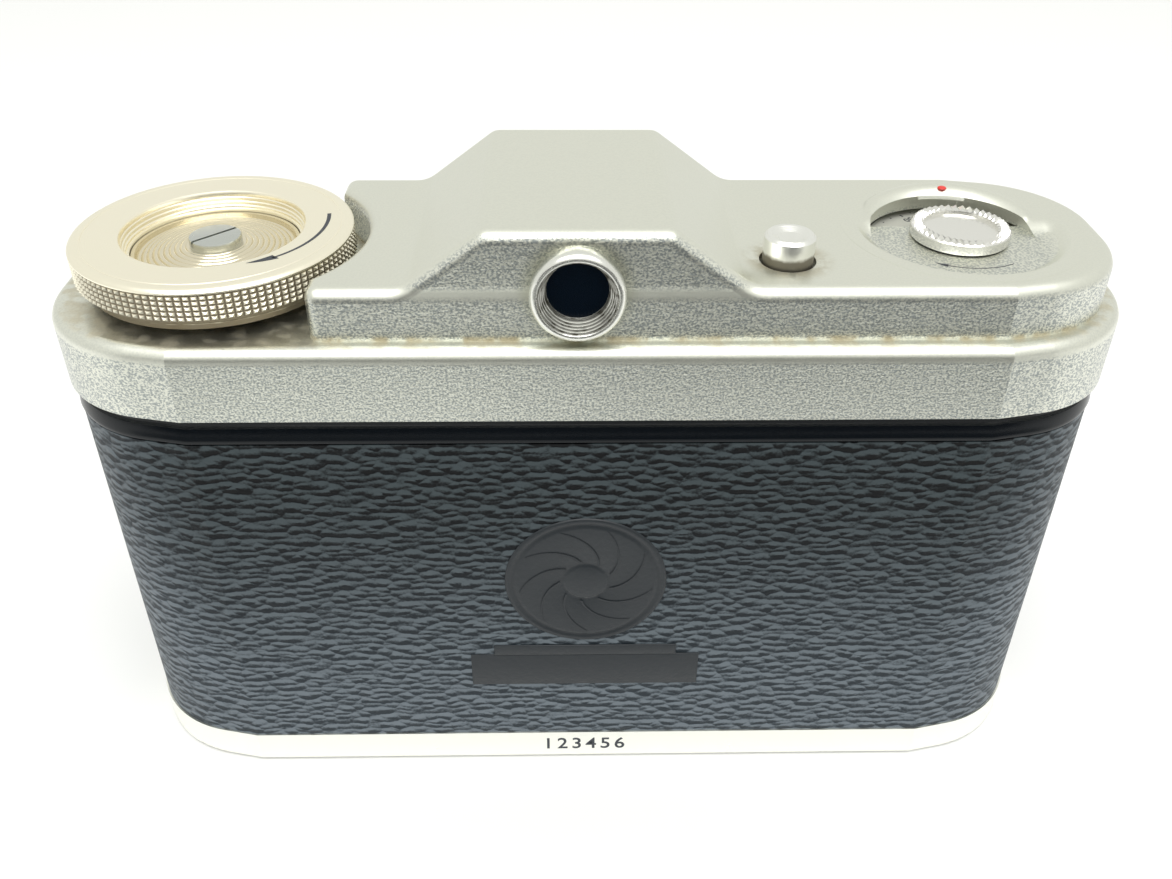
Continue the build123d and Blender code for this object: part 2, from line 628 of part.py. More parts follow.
def tripod_bush():
    """Flanged bush with the tapped hole, pressed into the base."""
    bore, top = 2.6, 6.0
    return turned([
        (bore, 0), (BUSH_R, 0), (BUSH_R, 1.2), (8.0, 1.2), (8.0, 2.2), (5.0, 2.2), (5.0, top), (0, top),
        (0, top - 0.6), (bore, top - 0.6),
    ])


def base_screws():
    """Three countersunk screws that hold the bush flange."""
    screws = []
    for angle in (90, 210, 330):
        x, y = 6.95 * cos(radians(angle)), 6.95 * sin(radians(angle))
        screws.append(rod(0.8, 2.2, 2.8, x, y) - Pos(x, y, 2.8) * Box(2, 0.3, 0.5))
    return Compound(children=screws)


def pressure_plate():
    """Flat plate over the gate, cut short of the sprocket's teeth."""
    plate = block(-18.2, 22, FILM_Y + 0.4, FILM_Y + 1.4, LENS_Z - 17.2, LENS_Z + 17.2)
    return fillet(plate.edges().filter_by(Axis.Y), 2.5)


def pressure_spring():
    """Bowed leaf spring between the back and the pressure plate."""
    back_y = HALF_DEPTH - SHELL_IN
    low, high = LENS_Z - 5.0, LENS_Z + 5.0
    near = FILM_Y + 1.9
    path = [(-16, near), (-14, near), (-5, back_y - 0.3), (7, back_y - 0.3), (16, near), (18, near)]
    under = [(x, y + 0.3) for x, y in reversed(path)]
    return slab(make_face(Polyline(*path, *under, close=True)), low, high)


def lock_key():
    """Round key in the base with a grip bar, on the +X side."""
    key = rod(KEY_R, 0.9, 2.0, SPOOL_X) + rod(KEY_SHAFT_R, 2.0, 8.0, SPOOL_X)
    grip = block(SPOOL_X - 7.0, SPOOL_X + 7.0, -1.1, 1.1, 0.15, 0.9)
    return key + grip


def lock_bar():
    """Latch bar on the key's shaft; its ends turn over the casting's hook."""
    bar = block(SPOOL_X - 2.5, SPOOL_X + 2.5, -11.8, 11.8, 3.7, 4.6) & rod(11.8, 3, 6, SPOOL_X)
    return bar - rod(KEY_SHAFT_R, 3, 5, SPOOL_X)


def rewind_knob():
    """Knurled disc in the base, turned with a fingertip."""
    knob = tube(KEY_R, 5.6, 0.2, 2.4, CASSETTE_X) + rod(5.6, 1.0, 2.4, CASSETTE_X)
    return knob + rod(KEY_SHAFT_R, 2.4, 4.0, CASSETTE_X)


def rewind_fork():
    """Fork that turns the cassette's core."""
    fork = rod(2.6, 4.0, 5.7, CASSETTE_X)
    return fork - block(CASSETTE_X - 4, CASSETTE_X + 4, -0.7, 0.7, 4.6, 6)


def parts():
    """Every node by name."""
    idler, counter_wheel = gear_train()
    made = {
        "body_casting": body_casting(),
        "gear_posts": gear_posts(),
        "gate_plate": gate_plate(),
        "top_cover": top_cover(),
        "eyepiece_ring": eyepiece_ring(),
        "eyepiece_lens": eyepiece_lens(),
        "finder_tube": finder_tube(),
        "finder_window": finder_window(),
        "front_leather": front_leather(),
        "front_rim": front_rim(),
        "wind_knob": wind_knob(),
        "wind_dish": wind_dish(),
        "wind_screw": wind_screw(),
        "wind_spindle": wind_spindle(),
        "take_up_spool": take_up_spool(),
        "sprocket": sprocket(),
        "sprocket_pinion": sprocket_pinion(),
        "idler_gear": idler,
        "counter_gear": counter_wheel,
        "counter_dial": counter_dial(),
        "counter_knob": counter_knob(),
        "release_button": release_button(),
        "release_bush": release_bush(),
        "release_spring": release_spring(),
        "release_link": release_link(),
        "shutter_mount": shutter_mount(),
        "shutter_housing": shutter_housing(),
        "blade_plate": blade_plate(),
        "rear_cell": rear_cell(),
        "clamp_ring": clamp_ring(),
        "rear_lens": rear_lens(),
        "aperture_ring": aperture_ring(),
        "speed_ring": speed_ring(),
        "cocking_lever": cocking_lever(),
        "flash_socket": flash_socket(),
        "focus_ring": focus_ring(),
        "lens_barrel": lens_barrel(),
        "front_lens": front_lens(),
        "back_cover": back_cover(),
        "back_leather": back_leather(),
        "back_rim": back_rim(),
        "base_plate": base_plate(),
        "tripod_bush": tripod_bush(),
        "base_screws": base_screws(),
        "pressure_plate": pressure_plate(),
        "pressure_spring": pressure_spring(),
        "lock_key": lock_key(),
        "lock_bar": lock_bar(),
        "rewind_knob": rewind_knob(),
        "rewind_fork": rewind_fork(),
    }
    for index in range(BLADE_COUNT):
        made[f"shutter_blade_{index + 1}"] = shutter_blade(index)
    return made


def main():
    os.makedirs("parts", exist_ok=True)
    for name, shape in parts().items():
        export_step(shape, f"parts/{name}.step")


if __name__ == "__main__":
    main()
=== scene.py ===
"""Looks of a compact viewfinder film camera: visual pieces, finishes, lights and camera, on the CAD frame."""

import logging
import math
from dataclasses import dataclass
from enum import Enum
from typing import Callable, Optional, Sequence, Union

import bmesh
import bpy
from mathutils import Matrix, Vector


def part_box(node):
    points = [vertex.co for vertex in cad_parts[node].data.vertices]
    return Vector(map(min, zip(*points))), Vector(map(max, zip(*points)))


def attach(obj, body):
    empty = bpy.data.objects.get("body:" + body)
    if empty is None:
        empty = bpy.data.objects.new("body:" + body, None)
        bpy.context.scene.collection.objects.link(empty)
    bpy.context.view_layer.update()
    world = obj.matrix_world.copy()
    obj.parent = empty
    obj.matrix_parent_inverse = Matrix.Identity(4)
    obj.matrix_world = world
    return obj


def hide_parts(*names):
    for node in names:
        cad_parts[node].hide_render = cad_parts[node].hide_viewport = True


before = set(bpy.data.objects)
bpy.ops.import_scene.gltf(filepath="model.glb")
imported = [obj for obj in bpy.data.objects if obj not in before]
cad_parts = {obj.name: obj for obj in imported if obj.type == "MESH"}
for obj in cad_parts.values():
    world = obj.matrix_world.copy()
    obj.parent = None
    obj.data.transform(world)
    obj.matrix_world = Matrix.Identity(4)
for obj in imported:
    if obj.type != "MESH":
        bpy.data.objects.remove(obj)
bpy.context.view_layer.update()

LOG = logging.getLogger("camera")
MM = 0.001
TAU = 2 * math.pi
LOOK_PREFIX = "look_"
Colour = tuple[float, float, float]
Pair = tuple[float, float]
Section = Sequence[Pair]
Spine = Callable[[float], tuple[Vector, Vector]]
Number = Union["Term", float]


def ease(t: float) -> float:
    """0 below 0, 1 above 1, and a smooth step between."""
    t = min(1.0, max(0.0, t))
    return t * t * (3 - 2 * t)


def ray(angle: float) -> Vector:
    """Level direction at an angle in radians."""
    return Vector((math.cos(angle), math.sin(angle), 0.0))


def box_mm(node: str) -> tuple[Vector, Vector]:
    """Lowest and highest corner of a CAD node in millimetres."""
    low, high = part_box(node)
    return low / MM, high / MM


def plan_middle(node: str) -> tuple[float, float, float]:
    """Middle of a CAD node's box in plan, in millimetres, at height zero."""
    low, high = box_mm(node)
    return (low.x + high.x) / 2, (low.y + high.y) / 2, 0.0


def new_verts(geom: Sequence) -> list[bmesh.types.BMVert]:
    """The vertices among the parts a bmesh operator returned."""
    return [part for part in geom if isinstance(part, bmesh.types.BMVert)]


class Toward(Enum):
    """Way a lathe axis points; the value turns +Z that way."""

    UP = Matrix.Identity(4)
    FRONT = Matrix.Rotation(math.pi / 2, 4, "X")
    BACK = Matrix.Rotation(-math.pi / 2, 4, "X")


class Half(Enum):
    """Which side of the plane between back cover and casting a piece keeps."""

    BACK = 1
    FRONT = -1


# ---------------------------------------------------------------- shader maths
class Term:
    """A shader number that builds Math nodes when it is used in arithmetic."""

    def __init__(self, graph: "Graph", socket: bpy.types.NodeSocket) -> None:
        """Keeps the graph and the socket that gives the number."""
        self.graph, self.socket = graph, socket

    def _op(self, operation: str, *values: Number) -> "Term":
        """Feeds the values to one Math node."""
        node = self.graph.node("ShaderNodeMath", {"operation": operation}, values)
        return Term(self.graph, node.outputs[0])

    def __add__(self, other: Number) -> "Term":
        """Sum."""
        return self._op("ADD", self, other)

    def __sub__(self, other: Number) -> "Term":
        """Difference."""
        return self._op("SUBTRACT", self, other)

    def __rsub__(self, other: float) -> "Term":
        """Difference from a number."""
        return self._op("SUBTRACT", other, self)

    def __mul__(self, other: Number) -> "Term":
        """Product."""
        return self._op("MULTIPLY", self, other)

    def __pow__(self, other: float) -> "Term":
        """Power."""
        return self._op("POWER", self, other)

    __radd__ = __add__
    __rmul__ = __mul__

    def absolute(self) -> "Term":
        """Size without its sign."""
        return self._op("ABSOLUTE", self)

    def sine(self) -> "Term":
        """Sine of an angle in radians."""
        return self._op("SINE", self)

    def step(self, start: float, end: float) -> "Term":
        """0 before start and 1 after end, eased between them."""
        settings = {"interpolation_type": "SMOOTHSTEP", "clamp": True}
        if start > end:
            return 1.0 - self.step(end, start)
        node = self.graph.node("ShaderNodeMapRange", settings, (self, start, end, 0.0, 1.0))
        return Term(self.graph, node.outputs[0])


class Graph:
    """One material's nodes, ending in a Principled shader."""

    def __init__(self, name: str) -> None:
        """Makes the material with its shader and object coordinates in millimetres."""
        self.material = bpy.data.materials.new(LOOK_PREFIX + name)
        self.material.use_nodes = True
        self.tree = self.material.node_tree
        self.tree.nodes.clear()
        self.shader = self.node("ShaderNodeBsdfPrincipled")
        output = self.node("ShaderNodeOutputMaterial")
        self.tree.links.new(self.shader.outputs[0], output.inputs[0])
        coords = self.node("ShaderNodeTexCoord").outputs["Object"]
        self.place = self.scaled(coords, (1 / MM, 1 / MM, 1 / MM))

    def node(
        self,
        kind: str,
        settings: Optional[dict] = None,
        values: Union[Sequence, dict] = (),
    ) -> bpy.types.Node:
        """Adds a node.

        Args:
            kind: Node type name.
            settings: Properties set before the sockets.
            values: Numbers, colours, sockets or terms for the inputs, by place or by name.

        Returns:
            The new node.
        """
        node = self.tree.nodes.new(kind)
        for key, value in (settings or {}).items():
            setattr(node, key, value)
        pairs = values.items() if isinstance(values, dict) else enumerate(values)
        for key, value in pairs:
            self.feed(node.inputs[key], value)
        return node

    def feed(self, target: bpy.types.NodeSocket, value: object) -> None:
        """Links a socket or term to an input, or sets the input to a plain value."""
        source = value.socket if isinstance(value, Term) else value
        if isinstance(source, bpy.types.NodeSocket):
            self.tree.links.new(source, target)
        else:
            target.default_value = source

    def vector(self, operation: str, *values: object) -> bpy.types.NodeSocket:
        """Result of one Vector Math node."""
        return self.node("ShaderNodeVectorMath", {"operation": operation}, values).outputs[0]

    def scaled(self, vector: bpy.types.NodeSocket, factors: Colour) -> bpy.types.NodeSocket:
        """A vector stretched along its axes."""
        return self.vector("MULTIPLY", vector, factors)

    def axes(self) -> tuple[Term, Term, Term]:
        """The place in millimetres as three numbers."""
        split = self.node("ShaderNodeSeparateXYZ", values=(self.place,))
        return tuple(Term(self, socket) for socket in split.outputs)

    def radius(self, x: float, y: float) -> Term:
        """Distance from an upright axis, in millimetres."""
        flat = self.scaled(self.vector("SUBTRACT", self.place, (x, y, 0.0)), (1.0, 1.0, 0.0))
        length = self.node("ShaderNodeVectorMath", {"operation": "LENGTH"}, (flat,))
        return Term(self, length.outputs["Value"])

    def level_radius(self, x: float, z: float) -> Term:
        """Distance from a level front-to-back axis, in millimetres."""
        across, _, up = self.axes()
        return ((across - x) ** 2.0 + (up - z) ** 2.0) ** 0.5

    def noise(self, scale: float, stretch: Colour = (1.0, 1.0, 1.0), detail: float = 2.0) -> Term:
        """Fractal noise around 0.5; scale is in features per millimetre."""
        vector = self.scaled(self.place, stretch)
        values = {"Vector": vector, "Scale": scale, "Detail": detail}
        return Term(self, self.node("ShaderNodeTexNoise", values=values).outputs["Fac"])

    def mix(self, factor: Number, a: object, b: object) -> bpy.types.NodeSocket:
        """Colour between a and b."""
        settings = {"data_type": "RGBA"}
        ends = [(*c, 1.0) if isinstance(c, tuple) else c for c in (a, b)]
        return self.node("ShaderNodeMix", settings, {0: factor, 6: ends[0], 7: ends[1]}).outputs[2]

    def bump(self, height: Term, depth: float, under: object = None) -> bpy.types.NodeSocket:
        """Normal tilted by a height, with its depth in millimetres, over another bump if given."""
        values = {"Height": height, "Distance": depth * MM, "Strength": 1.0}
        if under is not None:
            values["Normal"] = under
        return self.node("ShaderNodeBump", values=values).outputs[0]

    def set(self, **values: object) -> None:
        """Sets or links shader inputs; underscores stand for spaces in their names."""
        for key, value in values.items():
            whole = (*value, 1.0) if isinstance(value, tuple) else value
            self.feed(self.shader.inputs[key.replace("_", " ")], whole)


# ---------------------------------------------------------------- finishes
@dataclass(frozen=True)
class Plain:
    """Finish with one colour and a little unevenness in its gloss.

    Attributes:
        name: Material name.
        colour: Linear base colour.
        metallic: 1 for bare metal.
        roughness: Middle roughness.
        grain: Depth of the fine grain in millimetres.
        pitch: Grain features per millimetre.
        coat: Weight of a clear gloss layer.
        specular: Strength of the plain reflection, 0.5 for normal.
    """

    name: str
    colour: Colour
    metallic: float = 0.0
    roughness: float = 0.5
    grain: float = 0.0
    pitch: float = 3.0
    coat: float = 0.0
    specular: float = 0.5

    def build(self) -> bpy.types.Material:
        """Makes the material."""
        g = Graph(self.name)
        uneven = g.noise(0.35, detail=3.0)
        g.set(
            Base_Color=self.colour,
            Metallic=self.metallic,
            Roughness=uneven * 0.1 + (self.roughness - 0.05),
            Coat_Weight=self.coat,
            Specular_IOR_Level=self.specular,
        )
        if self.grain:
            g.set(Normal=g.bump(g.noise(self.pitch, detail=3.0), self.grain))
        return g.material


@dataclass(frozen=True)
class SatinChrome:
    """Satin plate over a pressed cover: pebbled walls, smoother tops, and grime where hands don't reach.

    Attributes:
        name: Material name.
        colour: Linear base colour of clean plate.
        speck: Linear colour of the pits in its grain.
        roughness: Roughness of clean plate.
        foot_z: Height of the housing's foot, where grime gathers, in millimetres.
        deck_z: Height of the flat deck in millimetres.
        button: Plan position of the release button in millimetres.
        eyepiece: Middle of the eyepiece across and up, in millimetres.
    """

    name: str = "satin_chrome"
    colour: Colour = (0.79, 0.795, 0.71)
    speck: Colour = (0.30, 0.33, 0.34)
    roughness: float = 0.36
    foot_z: float = 59.6
    deck_z: float = 65.05
    button: Pair = (-19.6, 7.6)
    eyepiece: Pair = (1.4, 65.08)

    def build(self) -> bpy.types.Material:
        """Makes the material."""
        g = Graph(self.name)
        _, y, z = g.axes()
        patchy = g.noise(0.6, detail=5.0)
        hump = y.absolute().step(13.4, 14.1) * z.step(self.deck_z - 0.2, self.deck_z + 0.6)
        ledge = (z - (self.foot_z - 0.6)).absolute().step(0.62, 1.05)
        wall = (z.step(self.deck_z - 0.5, self.deck_z - 1.4) + hump) * (ledge * 0.9 + 0.1)
        pebble = g.noise(2.6, (0.75, 0.75, 1.3), 3.0)
        fine = g.noise(4.6, (0.9, 0.9, 1.2), 2.0)
        foot = (z - (self.foot_z + 0.25)).absolute().step(0.5, 0.1) * patchy.step(0.40, 0.66)
        around = g.radius(*self.button).step(5.2, 2.6) * z.step(64.0, 64.8) * patchy.step(0.35, 0.6)
        ring = g.level_radius(*self.eyepiece)
        halo = ring.step(6.2, 4.6) * y.step(13.0, 14.0)
        pits = fine.step(0.60, 0.38) * (wall * 0.8 + 0.05)
        colour = g.mix(pits, self.colour, self.speck)
        colour = g.mix(foot * 0.6, colour, (0.52, 0.44, 0.28))
        colour = g.mix(around * 0.55, colour, (0.36, 0.30, 0.17))
        colour = g.mix(halo * 0.35, colour, (0.42, 0.42, 0.26))
        rough = self.roughness + foot * 0.25 + around * 0.2 + (patchy - 0.5) * 0.08
        relief = g.bump(pebble * (wall * 0.8 + 0.05), 0.04, g.bump(fine * (wall * 0.7 + 0.05), 0.02))
        g.set(Base_Color=colour, Metallic=1.0, Roughness=rough, Normal=relief)
        return g.material


@dataclass(frozen=True)
class TurnedMetal:
    """Metal turned on a lathe about an upright axis, with fine rings and wear, darker in its grooves and low
    down: dirt on some parts, painted shadow under the wind knob's rim.

    Attributes:
        name: Material name.
        axis: Plan position of the axis in millimetres.
        colour: Linear colour of clean metal.
        dirt: Linear colour of the darker places: dirt on some parts, painted shadow under the wind knob's
            rim.
        dirty_inside: Radius below which the grooves on the side are darker, in millimetres.
        dirty_below: Height below which the metal is darker, dirt on some parts and painted shadow under the
            wind knob's rim, in millimetres.
        groove_top: Height of the top of the darker grooves in millimetres.
        roughness: Roughness of clean metal.
        ring_pitch: Rings per millimetre.
        ring_depth: Depth of the rings in millimetres.
    """

    name: str
    axis: Pair
    colour: Colour
    dirt: Colour = (0.16, 0.12, 0.08)
    dirty_inside: float = 0.0
    dirty_below: float = 0.0
    groove_top: float = 99.0
    roughness: float = 0.2
    ring_pitch: float = 4.0
    ring_depth: float = 0.004

    def build(self) -> bpy.types.Material:
        """Makes the material."""
        g = Graph(self.name)
        _, _, z = g.axes()
        radius = g.radius(*self.axis)
        patchy = g.noise(0.9, detail=4.0)
        # Darker low down: painted shadow on the wind knob's skirt under its rim, dirt on other parts; the
        # knob's knurl grooves are darker too.
        dirt = (z + patchy * 0.5).step(self.dirty_below + 0.6, self.dirty_below + 0.1)
        if self.dirty_inside:
            low = radius.step(self.dirty_inside + 0.12, self.dirty_inside - 0.02)
            low = low * z.step(self.groove_top + 0.05, self.groove_top - 0.05)
            dirt = dirt + low * radius.step(self.dirty_inside - 0.6, self.dirty_inside - 0.3)
        colour = g.mix(dirt * 0.85, self.colour, self.dirt)
        rings = (radius * (TAU * self.ring_pitch)).sine() * patchy
        rough = self.roughness + dirt * 0.3 + (patchy - 0.5) * 0.1
        g.set(Base_Color=colour, Metallic=1.0, Roughness=rough, Normal=g.bump(rings, self.ring_depth))
        return g.material


@dataclass(frozen=True)
class Leather:
    """Grained covering: low pebbles lying level, with painted shade on their undersides, painted light on
    their tops, and painted floor light towards the base and the ends.

    Attributes:
        name: Material name.
        colour: Linear colour of the upper sides, painted light as if lit from above.
        crease: Linear colour of the creases and the pebbles' undersides, painted shade.
        dust: Linear colour of the upper sides near the base and the ends, painted lighter by floor light.
        dull_crease: Linear colour of the creases and undersides near the base and the ends, painted shade
            lightened by floor light.
        length: Length of a pebble in millimetres.
        height: Height of a pebble in millimetres.
        warp: How far the rows of pebbles wander, in millimetres.
        lift: Distance between the two readings that tell upper side from underside, in millimetres.
        contrast: Difference between the readings that counts as fully one side.
        depth: Depth of the creases in millimetres.
    """

    name: str = "grained_leather"
    colour: Colour = (0.040, 0.053, 0.059)
    crease: Colour = (0.0005, 0.001, 0.002)
    dust: Colour = (0.135, 0.160, 0.183)
    dull_crease: Colour = (0.022, 0.030, 0.038)
    length: float = 1.75
    height: float = 0.85
    warp: float = 0.7
    lift: float = 0.2
    contrast: float = 0.16
    depth: float = 0.2

    def build(self) -> bpy.types.Material:
        """Makes the material."""
        g = Graph(self.name)
        size = (1 / self.length, 1 / self.length, 1 / self.height)
        values = {"Vector": g.place, "Scale": 0.55, "Detail": 1.5}
        drift = g.node("ShaderNodeTexNoise", values=values).outputs["Color"]
        warped = g.vector("ADD", g.place, g.scaled(drift, (self.warp * 2, self.warp * 2, self.warp)))
        # Painted light and shade: where the height falls going up, a pebble's upper side is painted pale as
        # if lit from above; where it rises, its underside is painted dark as shade.
        here, above = (self.pebbles(g, warped, size, lift) for lift in (0.0, self.lift))
        pores = g.noise(5.0, (0.6, 0.6, 1.0), 2.0)
        lit = (here - above + (pores - 0.5) * 0.3).step(-self.contrast, self.contrast)
        x, _, z = g.axes()
        # Painted floor light: the leather is painted paler towards the base and towards the ends.
        painted_floor_light = z.step(44.0, 6.0) + x.absolute().step(40.0, 57.0) * 0.8
        tops = g.mix(painted_floor_light, self.colour, self.dust)
        shade = g.mix(painted_floor_light, self.crease, self.dull_crease)
        rough = 0.52 - lit * 0.08 + (pores - 0.5) * 0.2
        relief = g.bump(here + pores * 0.12, self.depth)
        g.set(Base_Color=g.mix(lit, shade, tops), Roughness=rough, Normal=relief)
        g.set(Specular_IOR_Level=0.14, Coat_Weight=lit * 0.24, Coat_Roughness=0.42, Coat_IOR=1.45)
        return g.material

    def pebbles(self, g: Graph, place: bpy.types.NodeSocket, size: Colour, lift: float) -> Term:
        """Domed height of the pebbles, read a little above each place."""
        moved = g.vector("ADD", place, (0.0, 0.0, lift))
        values = {"Vector": g.scaled(moved, size), "Scale": 1.0, "Smoothness": 0.25, "Randomness": 0.9}
        cells = g.node("ShaderNodeTexVoronoi", {"feature": "SMOOTH_F1"}, values)
        return 1.0 - Term(g, cells.outputs["Distance"])


@dataclass(frozen=True)
class BoredMetal:
    """Bright metal round a level bore whose thread holds old oil.

    Attributes:
        name: Material name.
        axis: Middle of the bore across and up, in millimetres.
        bore_r: Radius inside which the thread starts, in millimetres.
        pitch: Length of one thread in millimetres.
        colour: Linear colour of clean metal.
        dirt: Linear colour of the oil.
    """

    name: str = "bored_metal"
    axis: Pair = (1.4, 65.08)
    bore_r: float = 3.86
    pitch: float = 0.36
    colour: Colour = (0.82, 0.82, 0.77)
    dirt: Colour = (0.07, 0.065, 0.05)

    def build(self) -> bpy.types.Material:
        """Makes the material."""
        g = Graph(self.name)
        _, y, _ = g.axes()
        ring = g.level_radius(*self.axis)
        patchy = g.noise(1.2, detail=4.0)
        lines = (y * (TAU / self.pitch)).sine().step(-0.2, 0.7)
        inside = ring.step(self.bore_r + 0.06, self.bore_r - 0.04)
        dirt = inside * (lines * 0.75 + patchy.step(0.45, 0.7) * 0.4)
        g.set(Base_Color=g.mix(dirt, self.colour, self.dirt), Metallic=1.0, Roughness=0.24 + dirt * 0.3)
        g.set(Normal=g.bump(g.noise(2.0, detail=3.0), 0.012))
        return g.material


@dataclass(frozen=True)
class Glass:
    """Coated glass that shows a dark inside, clear enough to see the parts behind it.

    Attributes:
        name: Material name.
        colour: Linear tint.
        alpha: How much it hides what is behind.
        coat: Weight of the gloss layer.
        index: Index of refraction.
    """

    name: str
    colour: Colour
    alpha: float = 0.55
    coat: float = 1.0
    index: float = 1.6

    def build(self) -> bpy.types.Material:
        """Makes the material."""
        g = Graph(self.name)
        haze = g.noise(0.5, detail=3.0).step(0.45, 0.8)
        g.set(
            Base_Color=self.colour,
            Roughness=haze * 0.05 + 0.03,
            Coat_Weight=self.coat,
            Alpha=self.alpha,
            IOR=self.index,
        )
        return g.material


KNOB_AXIS = (39.2, 0.0)
COUNTER_AXIS = (-39.2, 0.0)
BUTTON_AXIS = (-19.6, 7.6)


class Look(Enum):
    """Every finish on the camera."""

    CHROME = SatinChrome()
    # Wind knob: the dark skirt under its knurl is painted shadow under the rim; its knurl grooves are darker.
    NICKEL = TurnedMetal(
        "nickel", KNOB_AXIS, (1.0, 0.945, 0.78), (0.18, 0.14, 0.09),
        dirty_inside=14.2, dirty_below=61.2, groove_top=64.7, roughness=0.3,
    )
    DISH = TurnedMetal(
        "nickel_dish", KNOB_AXIS, (0.80, 0.73, 0.56), (0.2, 0.15, 0.1),
        dirty_below=60.0, ring_pitch=5.0, ring_depth=0.004,
    )
    COUNTER = TurnedMetal(
        "counter_crown", COUNTER_AXIS, (0.84, 0.83, 0.79), (0.2, 0.17, 0.12), dirty_below=63.6,
    )
    BUTTON = TurnedMetal(
        "button", BUTTON_AXIS, (0.88, 0.88, 0.84), (0.12, 0.1, 0.06),
        dirty_below=65.95, roughness=0.3, ring_pitch=5.0, ring_depth=0.006,
    )
    SILVER = Plain("bright_silver", (0.93, 0.93, 0.86), 1.0, 0.3, 0.01, 2.0)
    BORED = BoredMetal()
    LENS_METAL = Plain("lens_satin", (0.76, 0.77, 0.77), 1.0, 0.28, 0.004, 5.0)
    STEEL = Plain("steel", (0.60, 0.61, 0.60), 1.0, 0.3, 0.004, 4.0)
    SCREW = Plain("screw_steel", (0.58, 0.60, 0.57), 1.0, 0.28, 0.006, 3.0)
    CAST = Plain("cast_alloy", (0.22, 0.22, 0.23), 1.0, 0.5, 0.03, 2.0)
    BRASS = Plain("gear_brass", (0.72, 0.55, 0.28), 1.0, 0.3, 0.004, 4.0)
    ENAMEL = Plain("gloss_enamel", (0.0015, 0.003, 0.005), 0.0, 0.2, 0.004, 0.8, 0.0, 0.26)
    MATT = Plain("matt_black", (0.018, 0.018, 0.019), 0.0, 0.6, 0.01, 5.0)
    SPOOL = Plain("spool_black", (0.02, 0.02, 0.021), 0.0, 0.4)
    LEATHER = Leather()
    PRESSED = Plain("pressed_leather", (0.010, 0.014, 0.018), 0.0, 0.44, 0.05, 1.6)
    DIAL = Plain("dial_face", (0.50, 0.50, 0.45), 0.3, 0.5, 0.004, 4.0)
    INK = Plain("dark_ink", (0.03, 0.035, 0.045), 0.0, 0.5)
    RED = Plain("red_paint", (0.65, 0.04, 0.03), 0.0, 0.35)
    EYE_GLASS = Glass("eyepiece_glass", (0.002, 0.005, 0.010), 0.92, 0.0, 1.28)
    FRONT_GLASS = Glass("coated_glass", (0.03, 0.03, 0.09), 0.5)

    def material(self) -> bpy.types.Material:
        """The finish's material, made on first use."""
        found = bpy.data.materials.get(LOOK_PREFIX + self.value.name)
        return found or self.value.build()


# ---------------------------------------------------------------- workpieces
@dataclass(frozen=True)
class Outline:
    """Plan of the body: flat front and back, slanted facets and round ends, in millimetres."""

    half_length: float = 56.0
    half_depth: float = 16.2
    crease_x: float = 41.0
    facet: float = math.radians(12.0)
    end_radius: float = 13.5
    arc_steps: int = 20

    def quarter(self, inset: float) -> list[Pair]:
        """Points of the +X +Y quarter from the crease to the tip, drawn in by an inset."""
        centre_x = self.half_length - self.end_radius
        rise = (self.end_radius + (centre_x - self.crease_x) * math.sin(self.facet)) / math.cos(self.facet)
        centre_y, radius = self.half_depth - rise, self.end_radius - inset
        points = [(self.crease_x - inset * math.tan(self.facet / 2), self.half_depth - inset)]
        first = math.pi / 2 - self.facet
        for i in range(self.arc_steps + 1):
            a = first * (1 - i / self.arc_steps)
            points.append((centre_x + radius * math.cos(a), centre_y + radius * math.sin(a)))
        return points

    def loop(self, inset: float) -> list[Pair]:
        """The whole outline, drawn in by an inset, as plan points."""
        q = self.quarter(inset)
        right = q + [(x, -y) for x, y in reversed(q)]
        return right + [(-x, -y) for x, y in right]


OUTLINE = Outline()


